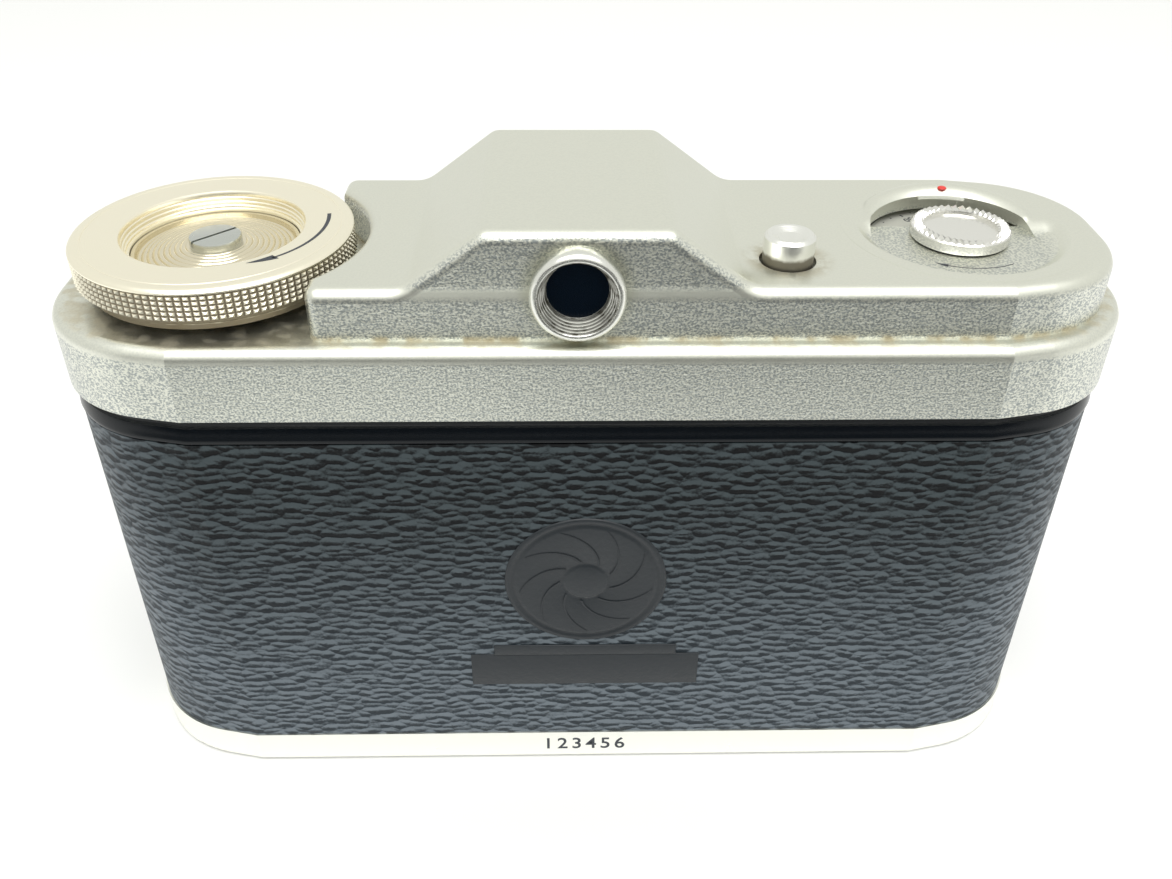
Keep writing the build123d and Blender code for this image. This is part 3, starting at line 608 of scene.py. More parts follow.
class Piece:
    """A mesh worked in millimetres and then handed over as an object of the shared frame."""

    def __init__(self, name: str) -> None:
        """Starts with nothing."""
        self.name = name
        self.bm = bmesh.new()

    # ---- making stock
    def lathe(self, profile: Section, steps: int = 96, closed: bool = True) -> list[bmesh.types.BMVert]:
        """Spins (radius, height) points about the Z axis.

        Args:
            profile: Points in order along the section.
            steps: Number of segments round.
            closed: Whether the last point joins the first.

        Returns:
            The vertices that were made.
        """
        before = set(self.bm.verts)
        verts = [self.bm.verts.new((r, 0.0, h)) for r, h in profile]
        edges = [self.bm.edges.new(pair) for pair in zip(verts, verts[1:])]
        if closed:
            edges.append(self.bm.edges.new((verts[-1], verts[0])))
        bmesh.ops.spin(
            self.bm, geom=verts + edges, cent=(0, 0, 0), axis=(0, 0, 1), angle=TAU, steps=steps,
            use_merge=True,
        )
        return [v for v in self.bm.verts if v not in before]

    def knurl(self, radius: float, span: Pair, columns: int, rows: int, tooth: float) -> None:
        """A band of small pyramids round the Z axis.

        Args:
            radius: Radius at their feet.
            span: Lowest and highest edge of the band.
            columns: Number round.
            rows: Number over its height.
            tooth: How far the pyramids stand out.
        """
        before = set(self.bm.faces)
        rise = (span[1] - span[0]) / rows
        self.lathe([(radius, span[0] + rise * i) for i in range(rows + 1)], columns, False)
        band = [f for f in self.bm.faces if f not in before]
        bmesh.ops.recalc_face_normals(self.bm, faces=band)
        if band[0].normal.dot(band[0].calc_center_median().xy.to_3d()) < 0:
            bmesh.ops.reverse_faces(self.bm, faces=band)
        bmesh.ops.inset_individual(self.bm, faces=band, thickness=0.05, depth=0.0)
        bmesh.ops.poke(self.bm, faces=band, offset=tooth)

    def wrap(self, section: Section, outline: Outline = OUTLINE) -> None:
        """Carries (inset, height) points round the body outline and joins them into a closed ring."""
        rings = []
        for inset, height in section:
            verts = [self.bm.verts.new((x, y, height)) for x, y in outline.loop(inset)]
            rings.append([self.bm.edges.new(p) for p in zip(verts, verts[1:] + verts[:1])])
        for near, far in zip(rings, rings[1:] + rings[:1]):
            bmesh.ops.bridge_loops(self.bm, edges=near + far)

    def block(self, low: Sequence[float], high: Sequence[float], bevel: float) -> None:
        """A box between two corners, its edges rounded by a bevel."""
        size = Vector(high) - Vector(low)
        middle = (Vector(high) + Vector(low)) / 2
        matrix = Matrix.Translation(middle) @ Matrix.Diagonal((*size, 1.0))
        made = bmesh.ops.create_cube(self.bm, size=1.0, matrix=matrix)["verts"]
        edges = list({e for v in made for e in v.link_edges})
        bmesh.ops.bevel(
            self.bm, geom=edges, offset=bevel, segments=2, profile=0.5, affect="EDGES", material=-1
        )

    def ribbon(self, spine: Spine, width: Callable[[float], float],
               steps: int = 24) -> None:
        """A flat strip along a curve.

        Args:
            spine: Gives the middle point and the sideways direction at 0 to 1 along the curve.
            width: Gives the width in millimetres at 0 to 1 along the curve.
            steps: Number of segments along it.
        """
        grid = bmesh.ops.create_grid(self.bm, x_segments=steps, y_segments=1, size=0.5)["verts"]
        for v in grid:
            t, side = v.co.x + 0.5, math.copysign(0.5, v.co.y)
            middle, across = spine(t)
            v.co = middle + across * (side * width(t))

    # ---- working it
    def drop_half(self, half: Half, gap: float) -> "Piece":
        """Cuts the piece at the parting plane, keeps one half and caps the cut."""
        geom = self.bm.verts[:] + self.bm.edges[:] + self.bm.faces[:]
        side = half.value
        cut = bmesh.ops.bisect_plane(
            self.bm, geom=geom, plane_co=(0, side * gap, 0), plane_no=(0, -side, 0), clear_outer=True
        )["geom_cut"]
        bmesh.ops.holes_fill(self.bm, edges=[e for e in cut if isinstance(e, bmesh.types.BMEdge)])
        return self

    def solid(self, thickness: float, way: Vector) -> "Piece":
        """Gives flat faces a thickness by pulling them along a direction."""
        faces = self.bm.faces[:]
        made = bmesh.ops.extrude_face_region(self.bm, geom=faces)["geom"]
        bmesh.ops.translate(self.bm, verts=new_verts(made), vec=way * thickness)
        return self

    def place(self, at: Sequence[float], toward: Toward = Toward.UP, turn: float = 0.0) -> "Piece":
        """Turns the piece about its own axis by degrees, points the axis and moves it to its place."""
        spin = Matrix.Rotation(math.radians(turn), 4, "Z")
        self.bm.transform(Matrix.Translation(Vector(at)) @ toward.value @ spin)
        return self

    def deliver(self, look: Look, body: str, slot: str, replaces: Sequence[str] = (),
                sharp: float = 35.0, merge: float = 1e-4) -> bpy.types.Object:
        """Turns the mesh into an object.

        Args:
            look: Finish of the piece.
            body: CAD body it rides on.
            slot: Material slot of the record; not used.
            replaces: CAD nodes it stands for.
            sharp: Angle in degrees from which edges stay sharp.
            merge: Distance in millimetres under which vertices join.

        Returns:
            The object, riding on its body.
        """
        bmesh.ops.remove_doubles(self.bm, verts=self.bm.verts, dist=merge)
        bmesh.ops.dissolve_degenerate(self.bm, edges=self.bm.edges, dist=merge)
        bmesh.ops.recalc_face_normals(self.bm, faces=self.bm.faces)
        bmesh.ops.scale(self.bm, verts=self.bm.verts, vec=(MM, MM, MM))
        mesh = bpy.data.meshes.new(self.name)
        self.bm.to_mesh(mesh)
        self.bm.free()
        return hand_over(mesh, self.name, look, body, replaces, sharp)


def hand_over(mesh: bpy.types.Mesh, name: str, look: Look, body: str,
              replaces: Sequence[str] = (), sharp: float = 35.0) -> bpy.types.Object:
    """Makes the object of a finished mesh and ties it to the frame; see Piece.deliver."""
    mesh.materials.clear()
    mesh.materials.append(look.material())
    mesh.shade_smooth()
    mesh.set_sharp_from_angle(angle=math.radians(sharp))
    piece = bpy.data.objects.new(name, mesh)
    bpy.context.scene.collection.objects.link(piece)
    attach(piece, body)
    if replaces:
        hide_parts(*replaces)
    LOG.info("%s: %d faces on %s", name, len(mesh.polygons), body)
    return piece


def arc_spine(centre: Pair, height: float, start: Pair,
              end: Pair) -> Spine:
    """Level arc about a centre whose (radius, degrees) goes from start to end; gives point and side."""

    def spine(t: float) -> tuple[Vector, Vector]:
        """Point and outward direction at a share of the arc."""
        r = start[0] + (end[0] - start[0]) * t
        a = math.radians(start[1] + (end[1] - start[1]) * t)
        out = ray(a)
        return Vector((*centre, height)) + out * r, out

    return spine


@dataclass(frozen=True)
class Lettering:
    """Small figures as flat mesh.

    Attributes:
        size: Height of the type in millimetres.
        thick: How far the figures stand up, in millimetres.
        spacing: Letter spacing, 1 for normal.
    """

    size: float
    thick: float = 0.02
    spacing: float = 1.0

    def write(self, text: str, place: Matrix, name: str, body: str) -> bpy.types.Object:
        """Sets the text in dark ink in the XY plane, carries it to its place and hands it over."""
        curve = bpy.data.curves.new(name, "FONT")
        curve.body, curve.size = text, self.size
        curve.align_x, curve.align_y = "CENTER", "CENTER"
        curve.extrude, curve.space_character, curve.resolution_u = self.thick / 2, self.spacing, 4
        curve.offset = self.size * 0.012
        shape = bpy.data.objects.new(name + "_type", curve)
        bpy.context.scene.collection.objects.link(shape)
        bpy.context.view_layer.update()
        mesh = bpy.data.meshes.new_from_object(shape.evaluated_get(bpy.context.evaluated_depsgraph_get()))
        bpy.data.objects.remove(shape)
        mesh.transform(Matrix.Scale(MM, 4) @ place)
        return hand_over(mesh, name, Look.INK, body)


def facing(at: Sequence[float], normal: Sequence[float], up: Sequence[float]) -> Matrix:
    """Matrix that puts flat type at a point, facing along a normal with its top toward up."""
    n = Vector(normal).normalized()
    side = Vector(up).cross(n).normalized()
    turn = Matrix((side, n.cross(side), n)).transposed().to_4x4()
    return Matrix.Translation(Vector(at)) @ turn


# ---------------------------------------------------------------- sub-assemblies
@dataclass(frozen=True)
class WindKnob:
    """Knurled winding knob with its dished disc; sizes in millimetres."""

    columns: int = 114
    rows: int = 5
    band_r: float = 14.18
    band_low: float = 61.85
    band_high: float = 64.62
    tooth: float = 0.3
    seat_r: float = 8.7
    mouth_r: float = 9.35
    skirt_low: float = 60.55
    bead_r: float = 14.42
    ridges: int = 9
    dish_r: float = 8.62
    ridges_r: float = 8.2
    hub_r: float = 3.1
    head_r: float = 2.7
    slot_half: float = 0.17
    slot_depth: float = 0.45
    slot_turn: float = 44.0

    def build(self) -> None:
        """Makes the knob, its knurl, the dish and the direction arrow."""
        self.rim()
        self.dish()
        self.screw()
        self.arrow()

    def rim(self) -> None:
        """The rim: lathe section and a band of small pyramids."""
        low, high = box_mm("wind_knob")
        top = high.z
        piece = Piece("knob_rim")
        # The skirt below the knurl, down to skirt_low, is coloured dark as painted shadow under the rim.
        piece.lathe(
            [
                (self.band_r, self.band_low), (self.band_r - 0.1, self.band_low - 0.2), (13.9, low.z),
                (13.5, low.z - 0.1), (13.3, self.skirt_low), (self.seat_r, self.skirt_low),
                (self.seat_r, 63.5), (8.95, 63.55), (9.0, 63.75), (9.12, 63.85), (9.12, 64.15),
                (9.25, 64.25), (9.25, 64.6), (self.mouth_r - 0.02, 64.7), (self.mouth_r, 65.05),
                (self.mouth_r + 0.08, top - 0.08),
                (self.mouth_r + 0.22, top), (13.05, top), (13.12, top - 0.05), (13.2, top - 0.07),
                (13.28, top - 0.02), (13.4, top), (13.75, top - 0.01), (14.05, top - 0.07),
                (14.28, top - 0.2),
                (self.bead_r, top - 0.38), (self.bead_r, top - 0.52), (14.3, top - 0.62),
                (self.band_r, self.band_high),
            ],
            self.columns, closed=False,
        )
        piece.knurl(self.band_r, (self.band_low, self.band_high), self.columns, self.rows, self.tooth)
        piece.place(plan_middle("wind_knob")).deliver(Look.NICKEL, "winder", "nickel", ["wind_knob"], 25.0)

    def dish(self) -> None:
        """The disc in the knob, turned with low round ridges."""
        low, high = box_mm("wind_dish")
        at = ((low.x + high.x) / 2, 0.0, 0.0)
        pitch = (self.ridges_r - self.hub_r) / self.ridges
        section = [(1.3, low.z), (self.dish_r, low.z), (self.dish_r, 63.2), (8.25, 63.2)]
        shares = (0.04, 0.2, 0.4, 0.6, 0.8, 0.96)
        for ring in range(self.ridges):
            r0, z0 = self.ridges_r - ring * pitch, 62.75 + ring * 0.085
            section += [(r0 - pitch * s, z0 + 0.13 * math.sin(math.pi * s)) for s in shares]
        section += [(self.hub_r - 0.05, high.z - 0.02), (1.3, high.z - 0.02)]
        piece = Piece("knob_dish")
        piece.lathe(section, 96)
        piece.place(at).deliver(Look.DISH, "winder", "nickel", ["wind_dish"], 40.0)

    def screw(self) -> None:
        """Low cheese-head screw, its slot cut across at an angle."""
        low, high = box_mm("wind_screw")
        head, slot = self.head_r, self.slot_half
        piece = Piece("knob_screw")
        piece.lathe(
            [(0, low.z), (1.25, low.z), (1.25, 63.5), (head, 63.5), (head, high.z - 0.18),
             (head - 0.07, high.z - 0.05), (head - 0.2, high.z), (0, high.z)],
            64, closed=False,
        )
        for side in (-1, 1):
            geom = piece.bm.verts[:] + piece.bm.edges[:] + piece.bm.faces[:]
            bmesh.ops.bisect_plane(piece.bm, geom=geom, plane_co=(0, side * slot, 0), plane_no=(0, 1, 0))
        floor = [
            f for f in piece.bm.faces
            if abs(f.calc_center_median().y) < slot and f.calc_center_median().z > high.z - 0.2
        ]
        made = bmesh.ops.extrude_face_region(piece.bm, geom=floor)["geom"]
        bmesh.ops.delete(piece.bm, geom=floor, context="FACES")
        for v in new_verts(made):
            v.co.z -= self.slot_depth
        piece.place(plan_middle("wind_screw"), turn=self.slot_turn)
        piece.deliver(Look.SCREW, "winder", "steel", ["wind_screw"], 30.0)

    def arrow(self) -> None:
        """Curved arrow on the top ring: a stroke that swells to its tail, and a slim head."""
        top = box_mm("wind_knob")[1].z + 0.012
        shaft = arc_spine(KNOB_AXIS, top, (11.95, 196.0), (10.7, 136.0))
        head = arc_spine(KNOB_AXIS, top, (10.72, 138.0), (10.15, 122.0))
        piece = Piece("knob_arrow")
        piece.ribbon(shaft, lambda t: 0.42 - 0.17 * t)
        piece.ribbon(head, lambda t: 1.05 * (1 - t) ** 0.8, 8)
        piece.solid(0.01, Vector((0, 0, -1))).deliver(Look.INK, "winder", "black_paint")


@dataclass(frozen=True)
class Counter:
    """Frame counter: crowned knob, marked dial, brow and engraved arrow; sizes in millimetres."""

    teeth: int = 40
    brow_centre: Pair = (-38.3, 1.5)
    brow_r: float = 9.1
    brow_width: float = 3.6
    brow_height: float = 1.15
    brow_turn: float = 0.08
    floor_z: float = 64.02
    deck_z: float = 65.05
    floor_r: float = 9.35
    rim_r: float = 11.15
    skin_r: float = 12.6
    tip_y: float = 0.6
    tip_run: float = 3.2
    divisions: int = 36
    tick_r: float = 8.55
    long_tick_r: float = 8.3
    figure_r: float = 7.2
    arrow_r: float = 7.5

    def build(self) -> None:
        """Makes all pieces of the counter."""
        self.crown()
        self.marks()
        self.brow()
        self.arrow()

    def crown(self) -> None:
        """Setting knob: ring with radial V grooves round a sunk flat disc."""
        low, high = box_mm("counter_knob")
        top = high.z
        piece = Piece("counter_crown")
        steps = self.teeth * 2
        piece.lathe(
            [
                (0, low.z), (1.5, low.z), (1.5, 64.1), (4.95, 64.1), (5.1, 64.2), (5.15, 64.35), (5.15, 65.2),
                (5.0, 65.42), (4.75, top), (4.1, top), (3.8, 65.3), (3.72, 64.95), (3.5, 64.92), (0, 64.9),
            ],
            steps, closed=False,
        )
        for v in piece.bm.verts:
            r = v.co.xy.length
            turn = round(math.atan2(v.co.y, v.co.x) / TAU * steps)
            if 4.05 < r < 5.05 and v.co.z > 65.35 and turn % 2:
                v.co.z -= 0.34 if v.co.z > top - 0.05 else 0.16
        piece.place((*COUNTER_AXIS, 0.0)).deliver(Look.COUNTER, "counter", "nickel", ["counter_knob"], 20.0)

    def marks(self) -> None:
        """Frame marks and figures on the dial."""
        top = box_mm("counter_dial")[1].z
        ticks = Piece("dial_marks")
        for i in range(self.divisions):
            a = TAU * i / self.divisions
            long = i % 5 == 0
            at = Vector((*COUNTER_AXIS, top + 0.01)) + ray(a) * (self.long_tick_r if long else self.tick_r)
            size = Matrix.Diagonal((0.5 if long else 0.16, 0.14, 0.02, 1.0))
            bmesh.ops.create_cube(
                ticks.bm, size=1.0, matrix=Matrix.Translation(at) @ Matrix.Rotation(a, 4, "Z") @ size
            )
        ticks.deliver(Look.INK, "counter", "black_paint")
        letters = Lettering(1.2)
        for i in range(0, self.divisions, 5):
            a = TAU * i / self.divisions
            out = ray(a)
            place = facing(Vector((*COUNTER_AXIS, top + 0.01)) + out * self.figure_r, (0, 0, 1), -out)
            letters.write(str(i), place, f"dial_figure_{i}", "counter")

    def window_r(self, angle: float) -> float:
        """Distance from the counter's axis to the window's edge at an angle."""
        off = Vector(COUNTER_AXIS) - Vector(self.brow_centre)
        out = Vector((math.cos(angle), math.sin(angle)))
        along = off.dot(out)
        return -along + math.sqrt(along**2 + self.brow_r**2 - off.length_squared)

    def skin_z(self, angle: float, r: float, start: float) -> float:
        """Height of the bay's skin: floor, round slope, and the brow on the far side."""
        y = r * math.sin(angle)
        slope = ease((r - self.floor_r) / (self.rim_r - self.floor_r))
        bay = self.floor_z + (self.deck_z + 0.01 - self.floor_z) * slope
        tuck = ease((self.tip_y - y) / self.tip_run)
        level = bay + (self.deck_z + 0.01 - bay) * tuck
        swell = max(0.0, -math.sin(angle + self.brow_turn) * 1.45 - 0.45)
        reach = max(0.4, self.brow_width * swell**0.5)
        s = (r - start) / reach
        if swell <= 0.0 or s >= 1.0:
            return level
        return level + self.brow_height * swell**0.7 * math.sin(math.pi * (0.1 + 0.9 * s)) ** 0.9

    def brow(self) -> None:
        """Skin of the bay with the raised crescent over the window, and its red index dot."""
        deck = self.deck_z
        piece = Piece("bay_skin")
        rows = 30
        for v in bmesh.ops.create_grid(piece.bm, x_segments=160, y_segments=rows, size=0.5)["verts"]:
            angle, share = TAU * (v.co.x + 0.5), v.co.y + 0.5
            start = min(self.window_r(angle), self.floor_r - 0.05)
            r = start + (self.skin_r - start) * share**1.15
            v.co = Vector((r * math.cos(angle), r * math.sin(angle), self.skin_z(angle, r, start)))
        bmesh.ops.remove_doubles(piece.bm, verts=piece.bm.verts, dist=1e-4)
        rims = [e for e in piece.bm.edges if e.is_boundary]
        made = bmesh.ops.extrude_edge_only(piece.bm, edges=rims)["geom"]
        for v in new_verts(made):
            v.co.z = self.floor_z - 0.05 if v.co.xy.length < self.skin_r - 0.5 else deck - 0.1
        bottom = [e for e in piece.bm.edges if e.is_boundary]
        bmesh.ops.bridge_loops(piece.bm, edges=bottom)
        piece.place((*COUNTER_AXIS, 0.0)).deliver(Look.CHROME, "body", "satin_chrome", sharp=50.0)
        dot = Piece("index_dot")
        bmesh.ops.create_uvsphere(dot.bm, u_segments=20, v_segments=10, radius=0.5)
        bmesh.ops.scale(dot.bm, verts=dot.bm.verts, vec=(1.0, 1.0, 0.35))
        dot.place((-39.4, -8.35, deck + self.brow_height * 0.86)).deliver(Look.RED, "body", "black_paint")

    def arrow(self) -> None:
        """Fine engraved arrow in the bay's floor."""
        floor = 64.0 + 0.012
        piece = Piece("bay_arrow")
        shaft = arc_spine(COUNTER_AXIS, floor, (self.arrow_r, 120.0), (self.arrow_r, 64.0))
        head = arc_spine(COUNTER_AXIS, floor, (self.arrow_r, 66.0), (self.arrow_r, 56.0))
        piece.ribbon(shaft, lambda t: 0.12)
        piece.ribbon(head, lambda t: 0.6 * (1 - t), 4)
        piece.solid(0.01, Vector((0, 0, -1))).deliver(Look.INK, "body", "black_paint")


@dataclass(frozen=True)
class Eyepiece:
    """Eyepiece ring, threaded inside; sizes in millimetres."""

    outer_r: float = 4.65
    rings: int = 5

    def build(self) -> None:
        """Makes the ring."""
        low, high = box_mm("eyepiece_ring")
        at = ((low.x + high.x) / 2, 14.2, (low.z + high.z) / 2)
        reach = high.y - at[1]
        section = [
            (3.98, low.y - at[1]), (3.98, 0.0), (self.outer_r - 0.05, 0.0), (self.outer_r, 0.08),
            (self.outer_r, reach - 0.75), (self.outer_r - 0.06, reach - 0.45), (4.42, reach - 0.18),
            (4.2, reach - 0.03), (4.02, reach), (3.88, reach - 0.04), (3.8, reach - 0.14),
        ]
        step = 0.75 / self.rings
        for i in range(self.rings):
            r, y = 3.8 - i * step, reach - 0.2 - i * 0.36
            section += [(r - 0.02, y), (r - 0.12, y - 0.06), (r - 0.12, y - 0.2), (r - 0.02, y - 0.28)]
        section += [(3.0, -0.2), (3.0, low.y - at[1])]
        piece = Piece("eyepiece_rim")
        piece.lathe(section, 96)
        piece.place(at, Toward.BACK).deliver(Look.BORED, "body", "satin_chrome", ["eyepiece_ring"], 30.0)


@dataclass(frozen=True)
class LensDress:
    """Knurled focus ring, scales, black cone before the front lens and the finder's frame; in millimetres."""

    axis_z: float = 27.5
    face: float = 15.7
    distances: tuple[str, ...] = ("1", "1.5", "2", "3", "5", "10", "20")
    speeds: tuple[str, ...] = ("B", "2", "5", "10", "25", "50", "100", "200")

    def build(self) -> None:
        """Makes all pieces of the front."""
        at = (0.0, -self.face, self.axis_z)
        self.grip(at)
        self.cone(at)
        self.scale(self.distances, "distance", "focus", 17.3, (-self.face - 21.01, 0.0), 1.7, 26.0)
        self.scale(self.speeds, "speed", "speeds", 22.23, (-27.3, 1.0), 1.6, 14.0)
        self.frame()

    def grip(self, at: Sequence[float]) -> None:
        """Focus ring with its band of small pyramids."""
        ring = Piece("focus_grip")
        ring.lathe(
            [
                (18.72, 19.8), (19.0, 20.0), (19.0, 20.4), (18.4, 21.0), (16.2, 21.0), (16.2, 15.4),
                (15.65, 15.4), (15.65, 14.4), (19.0, 14.4), (19.0, 14.9), (18.72, 15.1),
            ],
            120, closed=False,
        )
        ring.knurl(18.72, (15.1, 19.8), 120, 4, 0.28)
        ring.place(at, Toward.FRONT).deliver(Look.LENS_METAL, "focus", "anodised_lens", ["focus_ring"], 25.0)

    def cone(self, at: Sequence[float]) -> None:
        """Stepped black cone before the front lens."""
        cone = Piece("front_cone")
        steps = [(14.3 - 0.4 * i - 0.4 * j, 22.35 - 0.275 * i) for i in range(8) for j in (0, 1)]
        behind = [(9.62, 20.26), (9.62, 20.1), (11.3, 20.1), (14.5, 22.3), (15.25, 25.4)]
        cone.lathe([(15.1, 25.4), *steps, *behind], 96)
        cone.place(at, Toward.FRONT).deliver(Look.MATT, "front_cell", "black_paint", sharp=30.0)

    def scale(self, figures: Sequence[str], name: str, body: str, r: float, seat: Pair,
              size: float, spread: float) -> None:
        """Figures round the lens axis.

        Args:
            figures: Texts in order.
            name: Start of the pieces' names.
            body: CAD body they ride on.
            r: Distance from the axis.
            seat: Place along Y, and 1 when they face outward instead of forward.
            size: Height of the type.
            spread: Degrees between neighbours.
        """
        for i, text in enumerate(figures):
            a = math.radians(90 + spread * ((len(figures) - 1) / 2 - i))
            out = Vector((-math.cos(a), 0.0, math.sin(a)))
            at = Vector((0.0, seat[0], self.axis_z)) + out * r
            normal, up = (out, Vector((0, 1, 0))) if seat[1] else (Vector((0, -1, 0)), out)
            Lettering(size).write(text, facing(at, normal, up), f"{name}_{i}", body)

    def frame(self) -> None:
        """Slim black frame round the finder window."""
        low, high = box_mm("finder_window")
        piece = Piece("finder_frame")
        edge, lap, front, back = 0.4, 0.05, low.y - 0.05, low.y + 0.1
        tall, wide = (low.z - edge, high.z + edge), (low.x, high.x)
        for (x0, x1), (z0, z1) in (
            ((low.x - edge, low.x + lap), tall), ((high.x - lap, high.x + edge), tall),
            (wide, (low.z - edge, low.z + lap)), (wide, (high.z - lap, high.z + edge)),
        ):
            piece.block((x0, front, z0), (x1, back, z1), 0.02)
        piece.deliver(Look.ENAMEL, "body", "black_enamel")


@dataclass(frozen=True)
class Trim:
    """Black strip under the cover: a shaded step over a glossy sloping bead; sizes in millimetres."""

    gap: float = 0.1

    def build(self) -> None:
        """Makes the strip in two halves."""
        for half, node, body in ((Half.BACK, "back_rim", "back"), (Half.FRONT, "front_rim", "body")):
            low, high = box_mm(node)
            section = [
                (1.19, high.z), (1.02, high.z), (0.98, 50.55), (0.86, 50.4), (0.7, 50.3), (0.58, 50.0),
                (0.38, 49.1), (0.35, 48.85), (0.4, 48.65), (0.55, 48.52), (0.75, low.z + 0.03),
                (1.19, low.z + 0.03),
            ]
            piece = Piece(f"{half.name.lower()}_bead")
            piece.wrap(section)
            piece.drop_half(half, self.gap).deliver(Look.ENAMEL, body, "black_enamel", [node], 30.0)


@dataclass(frozen=True)
class Ornament:
    """Smooth pressed rosette of iris leaves over a plain plinth on the back leather; sizes in millimetres."""

    centre_x: float = 0.45
    rosette_z: float = 29.6
    rosette_r: float = 9.0
    leaves: int = 9
    plinth: tuple[float, float, float, float] = (-13.4, 13.4, 13.2, 18.2)

    def build(self) -> None:
        """Makes the pressed relief."""
        skin = box_mm("back_leather")[1].y
        piece = Piece("pressed_rosette")
        piece.lathe(
            [
                (0, 0.2), (2.2, 0.2), (2.35, 0.14), (2.5, 0.05), (2.7, 0.05), (2.85, 0.12), (7.6, 0.16),
                (7.9, 0.14), (8.05, 0.04), (8.3, 0.04), (8.45, 0.16),
                (self.rosette_r - 0.2, 0.2), (self.rosette_r, 0.1),
                (self.rosette_r + 0.05, -0.05), (0, -0.05),
            ],
            96, closed=False,
        )
        for i in range(self.leaves):
            a = TAU * i / self.leaves
            piece.ribbon(self.leaf_spine(a), lambda t: 0.28 - 0.1 * t, 14)
        piece.place((self.centre_x, skin, self.rosette_z), Toward.BACK)
        piece.deliver(Look.PRESSED, "back", "black_leather", sharp=60.0)
        foot = Piece("pressed_plinth")
        x0, x1, z0, z1 = self.plinth
        foot.block((x0 + 0.45, skin - 0.1, z0), (x1 + 0.45, skin + 0.16, z1), 0.12)
        foot.block((x0 + 3.2, skin - 0.1, z1 - 0.05), (x1 - 2.3, skin + 0.2, z1 + 1.5), 0.12)
        foot.deliver(Look.PRESSED, "back", "black_leather", sharp=60.0)

    def leaf_spine(self, start: float) -> Spine:
        """Curved rib from the rosette's hub to its rim, leaning like an iris leaf."""

        def spine(t: float) -> tuple[Vector, Vector]:
            """Point and side at a share of the rib."""
            r = 2.8 + 4.8 * t
            a = start + 0.9 * t
            out = ray(a)
            return out * r + Vector((0, 0, 0.24)), Vector((-out.y, out.x, 0.0))

        return spine


@dataclass(frozen=True)
class BaseMarks:
    """Generic serial figures on the back edge of the base; sizes in millimetres."""

    size: float = 2.75
    text: str = "123456"

    def build(self) -> None:
        """Writes the figures."""
        low, high = box_mm("base_plate")
        place = facing((0.5, high.y + 0.005, (low.z + high.z) / 2 + 0.1), (0, 1, 0), (0, 0, 1))
        Lettering(self.size, 0.02, 1.3).write(self.text, place, "base_figures", "back")


@dataclass(frozen=True)
class Paint:
    """Finish of every CAD node that stays visible."""

    table: tuple[tuple[Look, tuple[str, ...]], ...] = (
        (Look.CHROME, ("top_cover",)),
        (Look.LENS_METAL, ("shutter_housing", "shutter_mount", "speed_ring", "aperture_ring", "focus_ring",
                           "cocking_lever", "lens_barrel", "flash_socket")),
        (Look.SILVER, ("base_plate", "rewind_knob", "lock_key")),
        (Look.BUTTON, ("release_button",)),
        (Look.DIAL, ("counter_dial",)),
        (Look.STEEL, ("wind_spindle", "gate_plate", "gear_posts", "release_bush", "release_spring",
                      "release_link", "rear_cell", "clamp_ring", "tripod_bush", "base_screws",
                      "pressure_plate", "pressure_spring", "lock_bar", "rewind_fork")),
        (Look.BRASS, ("sprocket_pinion", "idler_gear", "counter_gear")),
        (Look.CAST, ("body_casting",)),
        (Look.SPOOL, ("take_up_spool",)),
        (Look.MATT, ("finder_tube", "back_cover", "blade_plate")),
        (Look.LEATHER, ("back_leather", "front_leather")),
        (Look.EYE_GLASS, ("eyepiece_lens",)),
        (Look.FRONT_GLASS, ("front_lens", "rear_lens", "finder_window")),
    )

    def dress(self) -> None:
        """Gives each node its finish, and steel to any node not in the table."""
        wanted = {node: look for look, nodes in self.table for node in nodes}
        for name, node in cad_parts.items():
            node.data.materials.clear()
            node.data.materials.append(wanted.get(name, Look.STEEL).material())
        LOG.info("finishes on %d CAD nodes", len(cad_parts))


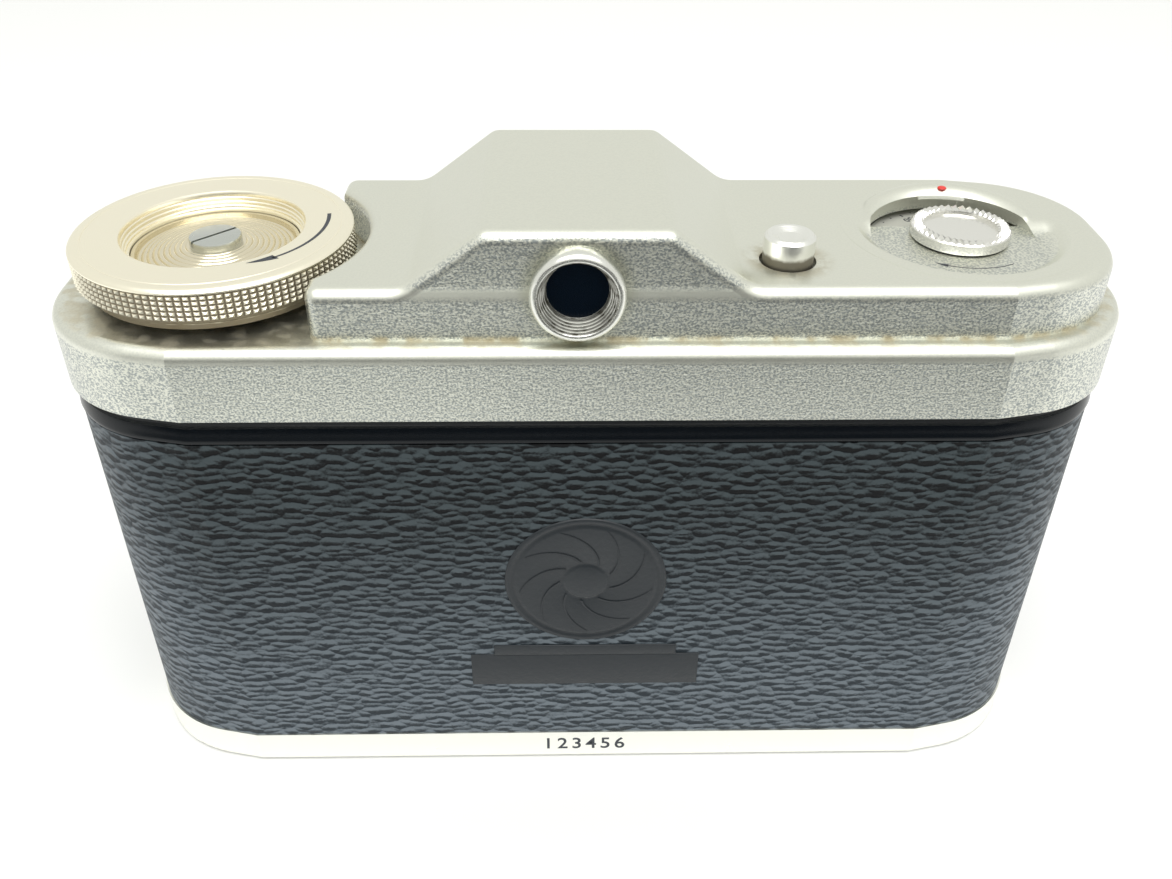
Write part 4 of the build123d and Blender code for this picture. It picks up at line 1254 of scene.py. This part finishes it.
# ---------------------------------------------------------------- studio
@dataclass(frozen=True)
class Studio:
    """Floor, sky, soft overhead lamp, reflected cards and camera; lengths in metres."""

    eye: tuple[float, float, float] = (0.002657, 0.107734, 0.113723)
    down: float = 0.613
    yaw: float = -0.023
    roll: float = 0.008
    lens: float = 33.99
    floor_size: float = 6.0
    sky: Colour = (0.975, 0.985, 0.94)
    sky_strength: float = 0.86

    def build(self) -> None:
        """Makes the set."""
        self.floor()
        self.cards()
        self.lights()
        self.camera()

    def plane(self, name: str, size: Pair, place: Matrix, look: Plain) -> bpy.types.Object:
        """A flat stage sheet."""
        bm = bmesh.new()
        bmesh.ops.create_grid(bm, x_segments=1, y_segments=1, size=0.5)
        bmesh.ops.scale(bm, verts=bm.verts, vec=(size[0], size[1], 1.0))
        bm.transform(place)
        mesh = bpy.data.meshes.new(name)
        bm.to_mesh(mesh)
        bm.free()
        sheet = bpy.data.objects.new(name, mesh)
        mesh.materials.append(look.build())
        bpy.context.scene.collection.objects.link(sheet)
        return sheet

    def floor(self) -> None:
        """Plain pale floor just under the base."""
        white = Plain("stage_floor", (0.88, 0.88, 0.88), 0.0, 0.7)
        self.plane("floor", (self.floor_size, self.floor_size), Matrix.Translation((0, 0, -0.0002)), white)

    def cards(self) -> None:
        """Grey cards behind the camera that only reflections show, to shade the metal walls."""
        upright = Matrix.Translation((0.0, 0.45, 0.09)) @ Matrix.Rotation(math.pi / 2, 4, "X")
        cards = (
            ("near_left", 0.80, (0.22, 0.044), Matrix.Translation((0.12, 0.097, 0.0008))),
            ("near_right", 0.54, (0.22, 0.044), Matrix.Translation((-0.10, 0.097, 0.0008))),
            ("far_left", 0.13, (0.22, 0.22), Matrix.Translation((0.12, 0.229, 0.001))),
            ("far_right", 0.03, (0.22, 0.22), Matrix.Translation((-0.10, 0.229, 0.001))),
            ("upright", 0.08, (0.9, 0.18), upright),
        )
        for name, grey, size, place in cards:
            look = Plain(f"card_{name}", (grey, grey * 1.02, grey), 0.0, 0.9)
            card = self.plane(f"card_{name}", size, place, look)
            card.visible_camera = card.visible_diffuse = card.visible_shadow = False

    def lights(self) -> None:
        """Pale sky and a soft key lamp above and behind the camera."""
        world = bpy.data.worlds.new("sky")
        bpy.context.scene.world = world
        world.use_nodes = True
        back = world.node_tree.nodes["Background"]
        back.inputs[0].default_value = (*self.sky, 1.0)
        back.inputs[1].default_value = self.sky_strength
        self.lamp("key", (0.9, 0.62), 5.0, (-0.03, 0.30, 0.75))

    def lamp(self, name: str, size: Pair, power: float, at: Sequence[float]) -> None:
        """A rectangular lamp at a place, facing the object."""
        light = bpy.data.lights.new(name, "AREA")
        light.shape, light.size, light.size_y, light.energy = "RECTANGLE", size[0], size[1], power
        holder = bpy.data.objects.new(name, light)
        aim = Vector((0.0, 0.0, 0.05)) - Vector(at)
        holder.matrix_world = Matrix.Translation(at) @ aim.to_track_quat("-Z", "Y").to_matrix().to_4x4()
        bpy.context.scene.collection.objects.link(holder)

    def camera(self) -> None:
        """Camera above and behind the object, looking down at its back."""
        level = math.cos(self.down)
        forward = Vector((math.sin(self.yaw) * level, -math.cos(self.yaw) * level, -math.sin(self.down)))
        right = forward.cross(Vector((0, 0, 1))).normalized()
        up = right.cross(forward)
        c, s = math.cos(self.roll), math.sin(self.roll)
        axes = Matrix((c * right + s * up, -s * right + c * up, -forward)).transposed().to_4x4()
        data = bpy.data.cameras.new("view")
        data.lens, data.sensor_width, data.clip_start, data.clip_end = self.lens, 36.0, 0.005, 20.0
        camera = bpy.data.objects.new("view", data)
        camera.matrix_world = Matrix.Translation(self.eye) @ axes
        bpy.context.scene.collection.objects.link(camera)
        bpy.context.scene.camera = camera


def main() -> None:
    """Builds every sub-assembly, then the set."""
    logging.basicConfig(level=logging.INFO, format="%(name)s: %(message)s")
    Paint().dress()
    for part in (WindKnob(), Counter(), Eyepiece(), LensDress(), Trim(), Ornament(), BaseMarks()):
        part.build()
    Studio().build()
    bpy.context.scene.view_settings.view_transform = "Standard"


if __name__ == "__main__":
    main()
